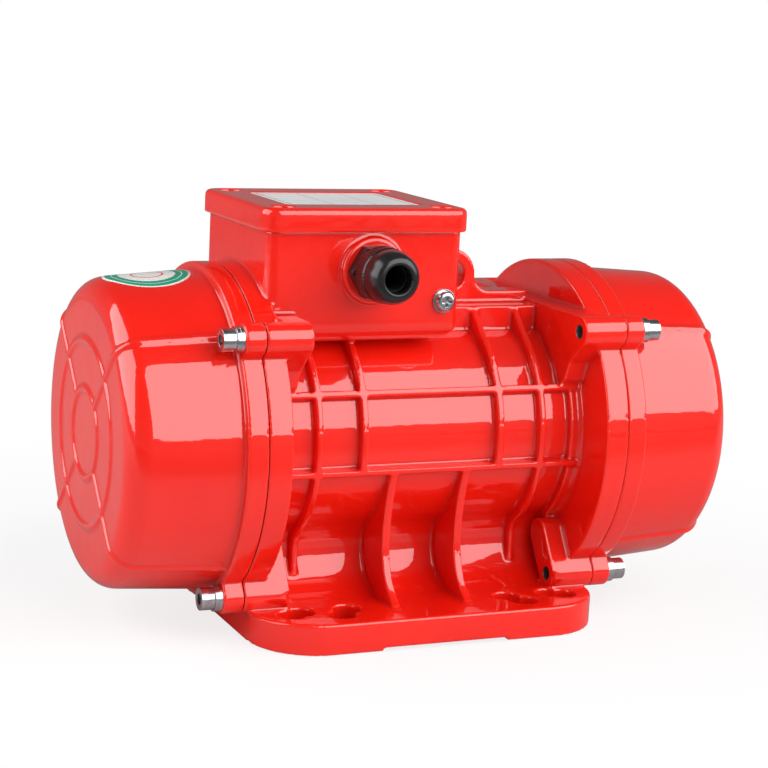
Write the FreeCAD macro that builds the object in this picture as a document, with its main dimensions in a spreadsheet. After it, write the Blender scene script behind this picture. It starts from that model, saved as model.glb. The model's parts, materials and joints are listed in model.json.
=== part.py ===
"""Vibration motor: a three-phase motor with eccentric weights on both shaft ends.

Millimetres.  +X runs along the shaft, +Z is up, and the cable gland looks towards -Y.
The origin is the middle of the mounting face, on the underside of the foot.
"""
import FreeCAD
import Part
import Sketcher

import math
import os
import re

# Driving sizes.  Angles are in degrees, and every length is in millimetres.
SIZES = {
    # Housing casting
    "axis_height": 86.4,
    "housing_length": 173.8,
    "barrel_radius": 49.0,
    "barrel_wall": 5.0,
    "neck_radius": 52.5,
    "neck_width": 6.0,
    "flange_radius": 76.0,
    "flange_width": 11.0,
    "recess_radius": 58.0,
    "recess_depth": 6.0,
    # Foot and what carries the barrel on it
    "base_length": 168.0,
    "base_width": 155.0,
    "base_thickness": 13.9,
    "base_corner_radius": 30.0,
    "base_edge_radius": 1.6,
    "relief_length": 61.2,
    "relief_depth": 1.4,
    "pedestal_width": 46.0,
    "pedestal_fillet": 21.0,
    "cove_radius": 13.0,
    # Mounting holes: four standard patterns, two lobes to each opening
    "base_hole_radius": 6.5,
    "inner_pitch_x": 80.0,
    "inner_pitch_y": 110.0,
    "main_pitch_x": 90.0,
    "main_pitch_y": 125.0,
    "wide_pitch_x": 124.0,
    "wide_pitch_y": 110.0,
    "outer_pitch_x": 135.0,
    "outer_pitch_y": 115.0,
    # Ribs of the barrel
    "rib_radius": 53.8,
    "rib_thickness": 3.2,
    "rib_crest_angle": 58.0,
    "inner_rib_spacing": 66.8,
    "outer_rib_spacing": 110.0,
    "upper_rail_angle": 26.2,
    "lower_rail_angle": 13.1,
    "rail_thickness": 2.8,
    "gusset_spacing": 35.8,
    "gusset_thickness": 4.0,
    "gusset_foot": 125.0,
    "gusset_waist": 91.0,
    "gusset_waist_rise": 26.0,
    # Cover bolts and their bosses
    "bolt_circle_radius": 80.0,
    "upper_bolt_angle": 40.0,
    "lower_bolt_angle": 56.5,
    "boss_radius": 7.2,
    "boss_length": 21.2,
    "lower_arm_root": 60.0,
    "shoulder_root_y": 50.0,
    "shoulder_root_z": 27.0,
    # Terminal box and lid
    "lid_length": 98.1,
    "lid_width": 89.4,
    "lid_thickness": 8.6,
    "lid_skirt": 2.0,
    "lid_corner_radius": 8.0,
    "lid_edge_radius": 2.4,
    "lid_overhang": 2.6,
    "lid_wall": 4.6,
    "box_centre_x": -31.9,
    "box_wall": 5.0,
    "box_wall_height": 50.4,
    "box_sink": 4.4,
    "box_bottom_radius": 11.0,
    "box_floor_thickness": 7.6,
    "lead_passage_radius": 8.0,
    "gasket_thickness": 1.5,
    "lid_screw_pitch_x": 76.0,
    "lid_screw_pitch_y": 70.0,
    "lid_pillar_radius": 6.5,
    "lid_screw_seat": 5.2,
    "plate_length": 64.0,
    "plate_width": 52.0,
    "plate_thickness": 0.8,
    "plate_recess": 1.2,
    # Terminal board
    "board_length": 52.0,
    "board_width": 30.0,
    "board_thickness": 6.0,
    "board_lift": 5.0,
    "board_foot": 8.0,
    "stud_pitch_x": 14.0,
    "stud_pitch_y": 15.0,
    "stud_radius": 2.0,
    "stud_length": 18.0,
    "link_thickness": 1.0,
    "terminal_nut_height": 3.2,
    # Lifting eye and the web behind it
    "eye_x": 26.7,
    "eye_rise": 21.2,
    "eye_radius": 12.1,
    "eye_hole_radius": 6.8,
    "eye_thickness": 12.0,
    "web_rise": 13.2,
    "top_pad_width": 35.0,
    "top_pad_rise": 8.0,
    # End covers
    "cover_length": 59.4,
    "cover_flange_width": 9.6,
    "cup_root_radius": 72.4,
    "cup_draft_angle": 4.0,
    "cup_corner_radius": 11.0,
    "cover_wall": 4.6,
    "bead_radius": 1.7,
    "bead_height": 1.2,
    "outer_bead_radius": 41.6,
    "inner_bead_radius": 20.0,
    "bead_angle": 45.0,
    "seal_radius": 71.2,
    "seal_cord": 2.4,
    # Bearing flanges, bearings (17 x 47 x 14) and rotor
    "plate_stock": 9.0,
    "hub_radius": 30.0,
    "hub_lip": 3.0,
    "lip_radius": 19.0,
    "flange_screw_circle": 51.0,
    "flange_screw_angle": 60.0,
    "bearing_bore": 17.0,
    "bearing_outside": 47.0,
    "bearing_width": 14.0,
    "bearing_inset": 5.0,
    "ball_radius": 4.3,
    "ball_pitch_radius": 16.0,
    "ball_count": 7,
    "race_clearance": 0.2,
    "cage_width": 10.8,
    "cage_thickness": 3.0,
    "journal_radius": 11.0,
    "core_seat_radius": 12.5,
    "core_length": 60.0,
    "rotor_radius": 25.0,
    "air_gap": 0.6,
    "end_ring_width": 7.0,
    "winding_overhang": 19.0,
    # Eccentric weights
    "weight_seat_radius": 8.0,
    "weight_radius": 48.0,
    "weight_thickness": 14.0,
    "weight_gap": 0.5,
    "weight_bore_clearance": 0.03,
    "hub_width": 38.0,
    "hub_height": 21.0,
    "clamp_slot": 3.0,
    "clamp_bolt_height": 14.5,
    "spacer_length": 9.5,
    "shaft_overhang": 40.0,
    "key_width": 5.0,
    "circlip_thickness": 1.2,
    # Fasteners
    "bolt_radius": 3.0,
    "bolt_head_radius": 5.0,
    "bolt_head_height": 6.0,
    "bolt_length": 25.0,
    "bolt_clearance": 0.3,
    "flat_washer_radius": 6.0,
    "flat_washer_thickness": 1.6,
    "spring_washer_radius": 5.9,
    "spring_washer_thickness": 1.6,
    "small_screw_radius": 2.5,
    "small_head_radius": 4.25,
    "small_head_height": 5.0,
    # Cable gland, M20
    "gland_offset": 2.5,
    "gland_pad_radius": 14.8,
    "gland_pad_height": 2.6,
    "gland_thread_radius": 10.0,
    "gland_flats": 22.5,
    "gland_hex_width": 5.5,
    "gland_nut_radius": 12.4,
    "gland_nose_radius": 11.3,
    "gland_reach": 27.0,
    "gland_mouth_radius": 7.0,
    "cable_hole_radius": 5.8,
    # Earth screw
    "earth_inset": 8.6,
    "earth_rise": 19.0,
    "earth_washer_radius": 5.4,
}

# Sizes that follow from the driving ones, each worked out in the sheet.
DERIVED = {
    "half_housing": "housing_length / 2",
    "bore_radius": "barrel_radius - barrel_wall",
    "flange_inner_x": "half_housing - flange_width",
    "box_length": "lid_length - 2 * lid_overhang",
    "box_width": "lid_width - 2 * lid_overhang",
    "box_corner_radius": "lid_corner_radius - lid_overhang",
    "cove_centre_y": "pedestal_width / 2 + cove_radius",
    "cove_drop": "sqrt((barrel_radius + cove_radius) ^ 2 - cove_centre_y ^ 2)",
    "rib_proud": "rib_radius - barrel_radius",
    "barrel_top_height": "axis_height + barrel_radius",
    "top_pad_height": "barrel_top_height + top_pad_rise",
    "web_height": "barrel_top_height + web_rise",
    "eye_height": "barrel_top_height + eye_rise",
    "board_top_height": "box_floor_height + board_lift + board_thickness",
    "box_bottom_height": "barrel_top_height - box_sink",
    "box_floor_height": "barrel_top_height + box_floor_thickness",
    "box_top_height": "box_bottom_height + box_wall_height",
    "lid_height": "box_top_height + gasket_thickness",
    "lid_top_height": "lid_height + lid_thickness",
    "box_front_y": "box_width / 2",
    "box_right_x": "box_centre_x + box_length / 2",
    "gland_face_y": "box_front_y + gland_pad_height",
    "gland_x": "box_centre_x + gland_offset",
    "gland_height": "box_top_height - gland_pad_radius - gland_pad_height",
    "earth_x": "box_right_x - earth_inset",
    "earth_height": "box_bottom_height + earth_rise",
    "cup_turn_x": "cover_length - cup_corner_radius",
    "cup_draft_rise": "cup_turn_x + cup_corner_radius * sin(cup_draft_angle) - cover_flange_width",
    "cup_face_radius": "cup_root_radius - cup_draft_rise * tan(cup_draft_angle)"
                       " - cup_corner_radius * cos(cup_draft_angle)",
    "bolt_seat_x": "cover_flange_width + flat_washer_thickness + spring_washer_thickness",
    "bearing_radius": "bearing_outside / 2",
    "bearing_seat_radius": "bearing_bore / 2",
    "bearing_inner_x": "-bearing_inset - bearing_width",
    "fixed_weight_x": "spacer_length - bearing_inset",
    "adjustable_weight_x": "fixed_weight_x + weight_thickness + weight_gap",
    "retainer_x": "adjustable_weight_x + weight_thickness + 0.2",
    "circlip_x": "retainer_x + flat_washer_thickness",
    "stator_bore_radius": "rotor_radius + air_gap",
}

UP = FreeCAD.Vector(0, 0, 1)
RIGHT = FreeCAD.Vector(1, 0, 0)
FRONT = FreeCAD.Vector(0, -1, 0)

doc = FreeCAD.newDocument("vibration_motor")
sheet = doc.addObject("Spreadsheet::Sheet", "sizes")
sub_parts = []
cuts = []


def fill_sheet():
    """Write the driving sizes as numbers and the derived ones as formulas."""
    contents = [(name, str(value)) for name, value in SIZES.items()]
    contents += [(name, "=" + formula) for name, formula in DERIVED.items()]
    for row, (name, content) in enumerate(contents, start=1):
        sheet.set(f"A{row}", name)
        sheet.set(f"B{row}", content)
        sheet.setAlias(f"B{row}", name)
    doc.recompute()


def bound(expression):
    """An expression in the sheet's words, as other objects have to write it."""
    return re.sub(r"\b([a-z]+(?:_[a-z]+)+)\b", r"sizes.\1", str(expression))


def size(expression):
    """The number that an expression in the sheet's words stands for."""
    return float(sheet.evalExpression(bound(expression)))


# ---- Sketches ---------------------------------------------------------------------------------


def origin_part(piece, role):
    """A plane or an axis of a body's own origin, such as XY_Plane or X_Axis."""
    for feature in piece.Origin.OriginFeatures:
        if feature.Role == role:
            return feature
    raise ValueError(f"no {role} in {piece.Label}")


def sketch_on(piece, name, plane, lift="0", rise="0", turn=None):
    """A sketch on a body's own plane, moved along its normal (lift) or up the plane (rise)."""
    sketch = piece.newObject("Sketcher::SketchObject", f"{piece.Name}_{name}")
    sketch.AttachmentSupport = [(origin_part(piece, plane), "")]
    sketch.MapMode = "FlatFace"
    if turn:
        sketch.AttachmentOffset = FreeCAD.Placement(FreeCAD.Vector(), FreeCAD.Rotation(RIGHT, 1))
        sketch.setExpression("AttachmentOffset.Rotation.Angle", bound(turn))
    sketch.setExpression("AttachmentOffset.Base.z", bound(lift))
    sketch.setExpression("AttachmentOffset.Base.y", bound(rise))
    return sketch


def pin(sketch, geometry, corner, place):
    """Tie one point of a sketch to a pair of expressions, measured from its origin."""
    for kind, expression in zip(("DistanceX", "DistanceY"), place):
        constraint = Sketcher.Constraint(kind, -1, 1, geometry, corner, size(expression))
        index = sketch.addConstraint(constraint)
        sketch.setExpression(f"Constraints[{index}]", bound(expression))


def tie_radius(sketch, geometry, radius):
    """Tie the radius of a circle or an arc to an expression."""
    index = sketch.addConstraint(Sketcher.Constraint("Radius", geometry, size(radius)))
    sketch.setExpression(f"Constraints[{index}]", bound(radius))


def arc_between(start, end, radius, side):
    """The short arc from start to end whose centre is on the given side of that way."""
    chord = end - start
    rise = math.sqrt(max(radius ** 2 - (chord.Length / 2) ** 2, 0))
    normal = FreeCAD.Vector(-chord.y, chord.x, 0).normalize()
    if side == "right":
        normal = normal * -1
        start, end = end, start
    centre = (start + end) / 2 + normal * rise
    angles = [math.atan2(point.y - centre.y, point.x - centre.x) for point in (start, end)]
    return Part.ArcOfCircle(Part.Circle(centre, UP, radius), *angles)


def outline(sketch, corners, closed=True):
    """Draw an outline through corners.

    A corner is a pair of expressions (across, up).  Two more, a radius and "left" or "right",
    make the stretch that leads to it an arc whose centre is on that side of the way.
    """
    points = [FreeCAD.Vector(size(corner[0]), size(corner[1]), 0) for corner in corners]
    stretches = range(len(corners)) if closed else range(1, len(corners))
    ends = []
    for index in stretches:
        start, end, corner = points[index - 1], points[index], corners[index]
        if len(corner) == 2:
            geometry = sketch.addGeometry(Part.LineSegment(start, end))
            ends.append((geometry, 1, 2))
        else:
            arc = arc_between(start, end, size(corner[2]), corner[3])
            geometry = sketch.addGeometry(arc)
            ends.append((geometry, 1, 2) if corner[3] == "left" else (geometry, 2, 1))
    for place, (geometry, first, last) in enumerate(ends):
        if closed or place + 1 < len(ends):
            following, its_first, _ = ends[(place + 1) % len(ends)]
            sketch.addConstraint(Sketcher.Constraint("Coincident", geometry, last,
                                                     following, its_first))
    if not closed:
        pin(sketch, ends[0][0], ends[0][1], corners[0][:2])
    for index, (geometry, _, last) in zip(stretches, ends):
        pin(sketch, geometry, last, corners[index][:2])
        if len(corners[index]) == 4:
            tie_radius(sketch, geometry, corners[index][2])


def circles(sketch, places, radius):
    """Draw circles of one radius round places given as pairs of expressions."""
    for across, up in places:
        centre = FreeCAD.Vector(size(across), size(up), 0)
        geometry = sketch.addGeometry(Part.Circle(centre, UP, size(radius)))
        pin(sketch, geometry, 3, (across, up))
        tie_radius(sketch, geometry, radius)


def mirrored(corners):
    """The corners of a half outline on the right, followed by their images on the left."""
    images = []
    for index in range(len(corners) - 1, -1, -1):
        across, up = corners[index][:2]
        following = corners[index + 1] if index + 1 < len(corners) else ()
        images.append((f"-({across})", up, *following[2:]))
    return list(corners) + images


def rounded_rectangle(sketch, centre, length, width, radius):
    """Draw a rectangle with round corners, counter-clockwise from its right side."""
    across, up = centre
    corners = []
    for sign_x, sign_y, turned in ((1, 1, False), (-1, 1, True), (-1, -1, False), (1, -1, True)):
        full = (f"{across} + {sign_x} * ({length}) / 2", f"{up} + {sign_y} * ({width}) / 2")
        on_side = (full[0], f"{full[1]} - {sign_y} * ({radius})")
        on_end = (f"{full[0]} - {sign_x} * ({radius})", full[1])
        first, second = (on_end, on_side) if turned else (on_side, on_end)
        corners.append(first)
        corners.append((*second, radius, "left"))
    outline(sketch, corners)


def tangent_radius(across, up, waist_across, waist_up):
    """The radius of the arc that runs upright through the waist and ends at a point."""
    out, rise = f"(({across}) - ({waist_across}))", f"(({up}) - ({waist_up}))"
    return f"({out} ^ 2 + {rise} ^ 2) / (2 * {out})"


def corner_places(pitch_x, pitch_y, centre=("0", "0")):
    """Four places at the corners of a rectangle round a centre."""
    return [(f"{centre[0]} + {sign_x} * {pitch_x} / 2", f"{centre[1]} + {sign_y} * {pitch_y} / 2")
            for sign_x in (1, -1) for sign_y in (1, -1)]


# ---- Features ---------------------------------------------------------------------------------


def body(name):
    """A new sub-part made of Part Design features."""
    piece = doc.addObject("PartDesign::Body", name)
    piece.Label = name
    sub_parts.append(piece)
    return piece


def feature_of(piece, kind, sketch):
    """A Part Design feature of one kind that uses a sketch as its profile."""
    feature = piece.newObject(f"PartDesign::{kind}", f"{sketch.Name}_{kind.lower()}")
    feature.Profile = sketch
    return feature


def pad(piece, sketch, length, both_ways=False, backwards=False):
    """Raise a sketch by a length, or by half of it to each side."""
    feature = feature_of(piece, "Pad", sketch)
    feature.setExpression("Length", bound(length))
    feature.SideType = "Symmetric" if both_ways else "One side"
    feature.Reversed = backwards
    return feature


def pocket(piece, sketch, length, both_ways=False, forwards=False):
    """Sink a sketch by a length against its normal, or along it (forwards)."""
    feature = feature_of(piece, "Pocket", sketch)
    feature.setExpression("Length", bound(length))
    feature.SideType = "Symmetric" if both_ways else "One side"
    feature.Reversed = forwards
    cuts.append(feature)
    return feature


def revolve(piece, sketch, axis="H_Axis"):
    """Turn a sketch round its own horizontal or vertical axis."""
    feature = feature_of(piece, "Revolution", sketch)
    feature.ReferenceAxis = (sketch, [axis])
    feature.Angle = 360
    return feature


def groove(piece, sketch, axis="H_Axis"):
    """Cut a sketch away all round its own horizontal or vertical axis."""
    feature = feature_of(piece, "Groove", sketch)
    feature.ReferenceAxis = (sketch, [axis])
    feature.Angle = 360
    cuts.append(feature)
    return feature


def repeat_across(piece, features, name):
    """Mirror features of a body to the other side of its YZ plane."""
    mirror = piece.newObject("PartDesign::Mirrored", f"{piece.Name}_{name}")
    mirror.Originals = features
    mirror.MirrorPlane = (origin_part(piece, "YZ_Plane"), [""])
    piece.Tip = mirror
    return mirror


def repeat_round(piece, features, count, axis="X_Axis"):
    """Repeat features of a body all round one of its axes."""
    pattern = piece.newObject("PartDesign::PolarPattern", f"{features[0].Name}_round")
    pattern.Originals = features
    pattern.Axis = (origin_part(piece, axis), [""])
    pattern.Angle = 360
    pattern.setExpression("Occurrences", bound(count))
    piece.Tip = pattern
    return pattern


def soften(piece, radius, chosen, name):
    """Round the edges of a body's newest shape that a test picks out."""
    doc.recompute()
    base = piece.Tip
    edges = [f"Edge{number}" for number, edge in enumerate(base.Shape.Edges, start=1)
             if chosen(edge.BoundBox)]
    feature = piece.newObject("PartDesign::Fillet", f"{piece.Name}_{name}")
    feature.Base = (base, edges)
    feature.setExpression("Radius", bound(radius))
    return feature


def at_height(expression):
    """A test for edges that lie flat at one height."""
    height = size(expression)
    return lambda box: abs(box.ZMin - height) < 0.01 and abs(box.ZMax - height) < 0.01


def place(thing, across="0", deep="0", up="0", facing=None):
    """Put a piece at three expressions, with its own +Z turned to face a way."""
    if facing is not None:
        thing.Placement = FreeCAD.Placement(FreeCAD.Vector(), FreeCAD.Rotation(UP, facing))
    for axis, expression in zip("xyz", (across, deep, up)):
        thing.setExpression(f"Placement.Base.{axis}", bound(expression))


def place_at_end(thing, side):
    """Put a piece that is drawn outwards from the joint face at one end of the housing."""
    if side == "left":
        thing.Placement = FreeCAD.Placement(FreeCAD.Vector(), FreeCAD.Rotation(UP, 180))
    sign = SIGN[side]
    place(thing, f"{sign} * half_housing", "0", "axis_height")


SIGN = {"left": -1, "right": 1}


def end_x(side, outwards):
    """The X of a plane that lies a distance outwards from the joint face of one end."""
    return f"{SIGN[side]} * (half_housing + {outwards})"


def outward(side):
    """The direction that leads out of one end of the motor."""
    return FreeCAD.Vector(SIGN[side], 0, 0)


# ---- Shared places ----------------------------------------------------------------------------

UPPER_BOLT = ("bolt_circle_radius * cos(upper_bolt_angle)",
              "bolt_circle_radius * sin(upper_bolt_angle)")
LOWER_BOLT = ("bolt_circle_radius * cos(lower_bolt_angle)",
              "-bolt_circle_radius * sin(lower_bolt_angle)")
COVER_BOLTS = [UPPER_BOLT, (f"-{UPPER_BOLT[0]}", UPPER_BOLT[1]),
               LOWER_BOLT, (f"-{LOWER_BOLT[0]}", LOWER_BOLT[1])]
FLANGE_SCREWS = [(f"{sign_y} * flange_screw_circle * cos(flange_screw_angle)",
                  f"{sign_z} * flange_screw_circle * sin(flange_screw_angle)")
                 for sign_y in (1, -1) for sign_z in (1, -1)]
STUDS = [(f"box_centre_x + {column} * stud_pitch_x", f"{row} * stud_pitch_y / 2")
         for column in (-1, 0, 1) for row in (1, -1)]
BOARD_SCREWS = [(f"box_centre_x + {sign} * (board_length - board_foot) / 2", "0")
                for sign in (1, -1)]
LID_SCREWS = corner_places("lid_screw_pitch_x", "lid_screw_pitch_y", ("box_centre_x", "0"))


def bolt_arms(sketch, upper_inner, lower_inner):
    """Draw the four arms that lead from near the axis out to the cover bolts."""
    for sign_y, angle, inner in ((1, "upper_bolt_angle", upper_inner),
                                 (-1, "upper_bolt_angle", upper_inner),
                                 (1, "-lower_bolt_angle", lower_inner),
                                 (-1, "-lower_bolt_angle", lower_inner)):
        corners = []
        for radius, aside in ((inner, -1), ("bolt_circle_radius", -1),
                              ("bolt_circle_radius", 1), (inner, 1)):
            along = f"({radius}) * cos({angle}) - {aside} * boss_radius * sin({angle})"
            up = f"({radius}) * sin({angle}) + {aside} * boss_radius * cos({angle})"
            corners.append((f"{sign_y} * ({along})", up))
        outline(sketch, corners)


# ---- Housing ----------------------------------------------------------------------------------


def motor_housing():
    """The one-piece casting: barrel, flanges, foot, terminal box walls and lifting eye."""
    piece = body("motor_housing")
    terminal_box_walls(piece)
    barrel_and_flanges(piece)
    foot(piece)
    barrel_ribs(piece)
    cover_bolt_bosses(piece)
    lifting_eye(piece)
    housing_hollows(piece)


def terminal_box_walls(piece):
    """The box that stands on the barrel, still solid, drawn in round towards its bottom."""
    plan = sketch_on(piece, "box", "XY_Plane", lift="box_bottom_height")
    rounded_rectangle(plan, ("box_centre_x", "0"), "box_length", "box_width", "box_corner_radius")
    pad(piece, plan, "box_wall_height")
    turned = "box_bottom_height + box_bottom_radius"
    for plane, side in (("YZ_Plane", "box_front_y"), ("XZ_Plane", "box_right_x")):
        edge = [(f"{side} - box_bottom_radius", "box_bottom_height - 1"),
                (f"{side} + 1", "box_bottom_height - 1"),
                (f"{side} + 1", turned),
                (side, turned),
                (f"{side} - box_bottom_radius", "box_bottom_height", "box_bottom_radius", "right")]
        section = sketch_on(piece, f"box_under_{side[4:-2]}", plane)
        outline(section, edge)
        if plane == "YZ_Plane":
            outline(section, [(f"-({across})", *rest) if len(rest) == 1 else
                              (f"-({across})", rest[0], rest[1], "left")
                              for across, *rest in edge])
        pocket(piece, section, "2 * (box_length + box_width)", both_ways=True)


def barrel_and_flanges(piece):
    """The turned outside of the casting, solid for now."""
    profile = sketch_on(piece, "barrel", "XZ_Plane", rise="axis_height")
    half = [("half_housing", "0"),
            ("half_housing", "flange_radius"),
            ("flange_inner_x", "flange_radius"),
            ("flange_inner_x", "neck_radius + 3"),
            ("flange_inner_x - 3", "neck_radius", "3", "right"),
            ("flange_inner_x - neck_width", "neck_radius"),
            ("flange_inner_x - neck_width", "barrel_radius")]
    outline(profile, mirrored(half))
    revolve(piece, profile)


def foot(piece):
    """The foot plate, its pedestal under the barrel, and the gussets."""
    plan = sketch_on(piece, "foot", "XY_Plane")
    rounded_rectangle(plan, ("0", "0"), "base_length", "base_width", "base_corner_radius")
    pad(piece, plan, "base_thickness")
    section = sketch_on(piece, "pedestal", "YZ_Plane")
    side = "pedestal_width / 2"
    outline(section, mirrored([
        (f"{side} + pedestal_fillet + 1", "base_thickness - 1"),
        (f"{side} + pedestal_fillet", "base_thickness"),
        (side, "base_thickness + pedestal_fillet", "pedestal_fillet", "right"),
        (side, "axis_height - cove_drop"),
        ("cove_centre_y * barrel_radius / (barrel_radius + cove_radius)",
         "axis_height - cove_drop * barrel_radius / (barrel_radius + cove_radius)",
         "cove_radius", "right"),
        (side, "axis_height - 25")]))
    pad(piece, section, "2 * flange_inner_x + 2", both_ways=True)
    leaf = sketch_on(piece, "gusset", "YZ_Plane", lift="(gusset_spacing - gusset_thickness) / 2")
    waist = ("gusset_waist / 2", "base_thickness + gusset_waist_rise")
    top = ("rib_radius * cos(lower_rail_angle)", "axis_height - rib_radius * sin(lower_rail_angle)")
    outline(leaf, mirrored([
        ("gusset_foot / 2", "base_thickness - 1"),
        ("gusset_foot / 2", "base_thickness"),
        (*waist, tangent_radius("gusset_foot / 2", "base_thickness", *waist), "right"),
        (*top, tangent_radius(*top, *waist), "right")]))
    gusset = pad(piece, leaf, "gusset_thickness")
    repeat_across(piece, [gusset], "gussets")


def barrel_ribs(piece):
    """Hoops round the barrel, and the rails that run along it from flange to flange."""
    lift = "(inner_rib_spacing - rib_thickness) / 2"
    hoop = sketch_on(piece, "inner_hoop", "YZ_Plane", lift=lift, rise="axis_height")
    end = ("rib_radius * cos(lower_rail_angle)", "-rib_radius * sin(lower_rail_angle)")
    over_the_top = [("0", "rib_radius", "rib_radius", "left"),
                    (f"-{end[0]}", end[1], "rib_radius", "left")]
    outline(hoop, [end] + over_the_top)
    inner = pad(piece, hoop, "rib_thickness")

    lift = "(outer_rib_spacing - rib_thickness) / 2"
    hoop = sketch_on(piece, "outer_hoop", "YZ_Plane", lift=lift, rise="axis_height")
    stem = "pedestal_width / 2 + rib_proud"
    leave = ("cove_centre_y * rib_radius / (barrel_radius + cove_radius)",
             "-cove_drop * rib_radius / (barrel_radius + cove_radius)")
    outline(hoop, [
        (f"-({stem})", "base_thickness - axis_height - 1"),
        (stem, "base_thickness - axis_height - 1"),
        (stem, "-cove_drop"),
        (*leave, "cove_radius - rib_proud", "right"),
        ("0", "rib_radius", "rib_radius", "left"),
        (f"-({leave[0]})", leave[1], "rib_radius", "left"),
        (f"-({stem})", "-cove_drop", "cove_radius - rib_proud", "right")])
    outer = pad(piece, hoop, "rib_thickness")
    repeat_across(piece, [inner, outer], "hoops")

    section = sketch_on(piece, "rails", "YZ_Plane", rise="axis_height")
    for sign_y in (1, -1):
        for angle in ("upper_rail_angle", "-lower_rail_angle"):
            corners = []
            for radius, aside in (("bore_radius + 1", -1), ("rib_radius", -1),
                                  ("rib_radius", 1), ("bore_radius + 1", 1)):
                half = f"{aside} * rail_thickness / 2"
                corners.append((f"{sign_y} * (({radius}) * cos({angle}) - {half} * sin({angle}))",
                                f"({radius}) * sin({angle}) + {half} * cos({angle})"))
            outline(section, corners)
    pad(piece, section, "2 * flange_inner_x + 1", both_ways=True)


def cover_bolt_bosses(piece):
    """Bosses that the cover bolts screw into, their arms, and the shoulder between the upper two."""
    inner_end = "half_housing - boss_length"
    ends = sketch_on(piece, "bosses", "YZ_Plane", lift=inner_end, rise="axis_height")
    circles(ends, COVER_BOLTS, "boss_radius")
    bosses = pad(piece, ends, "boss_length")
    section = sketch_on(piece, "arms", "YZ_Plane", lift=inner_end, rise="axis_height")
    bolt_arms(section, "bore_radius + 1", "lower_arm_root")
    arms = pad(piece, section, "boss_length")
    ends = sketch_on(piece, "arm_ends", "YZ_Plane", lift=inner_end, rise="axis_height")
    circles(ends, [(f"{sign} * lower_arm_root * cos(lower_bolt_angle)",
                    "-lower_arm_root * sin(lower_bolt_angle)") for sign in (1, -1)],
            "boss_radius")
    rounds = pad(piece, ends, "boss_length")
    section = sketch_on(piece, "shoulder", "YZ_Plane", lift=inner_end, rise="axis_height")
    outline(section, mirrored([
        ("shoulder_root_y - 12", "shoulder_root_z - 8"),
        ("shoulder_root_y", "shoulder_root_z"),
        UPPER_BOLT,
        (UPPER_BOLT[0], f"{UPPER_BOLT[1]} + boss_radius")]))
    shoulder = pad(piece, section, "boss_length - flange_width + 1")
    repeat_across(piece, [bosses, arms, rounds, shoulder], "bolt_ends")


def lifting_eye(piece):
    """The eye beside the terminal box, with its web and the pad along the top of the barrel."""
    section = sketch_on(piece, "top_pad", "YZ_Plane", lift="box_right_x - 2")
    outline(section, mirrored([("top_pad_width / 2", "axis_height + bore_radius - 6"),
                               ("top_pad_width / 2", "top_pad_height")]))
    pad(piece, section, "half_housing - boss_length - box_right_x + 3")
    for name, spacing in (("inner", "inner_rib_spacing"), ("outer", "outer_rib_spacing")):
        crest = sketch_on(piece, f"{name}_crest", "YZ_Plane",
                          lift=f"({spacing} - rib_thickness) / 2")
        foot_y, foot_z = "rib_radius * cos(rib_crest_angle)", "rib_radius * sin(rib_crest_angle)"
        outline(crest, mirrored([
            (f"{foot_y} - rib_proud", f"axis_height + {foot_z} - rib_proud"),
            (foot_y, f"axis_height + {foot_z}"),
            ("top_pad_width / 2", "top_pad_height - 1")]))
        pad(piece, crest, "rib_thickness")
    side = sketch_on(piece, "eye", "XZ_Plane")
    right = "half_housing - boss_length + 1"
    bend = "eye_height - web_height"
    outline(side, [
        ("box_right_x - 2", "axis_height + bore_radius + 1"),
        (right, "axis_height + bore_radius + 1"),
        (right, "web_height"),
        (f"eye_x + eye_radius + {bend}", "web_height"),
        ("eye_x + eye_radius", "eye_height", bend, "right"),
        ("eye_x", "eye_height + eye_radius", "eye_radius", "left"),
        ("eye_x - eye_radius", "eye_height", "eye_radius", "left"),
        ("box_right_x - 2", "eye_height")])
    pad(piece, side, "eye_thickness", both_ways=True)
    hole = sketch_on(piece, "eye_hole", "XZ_Plane")
    circles(hole, [("eye_x", "eye_height")], "eye_hole_radius")
    pocket(piece, hole, "eye_thickness + 2", both_ways=True)


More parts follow.
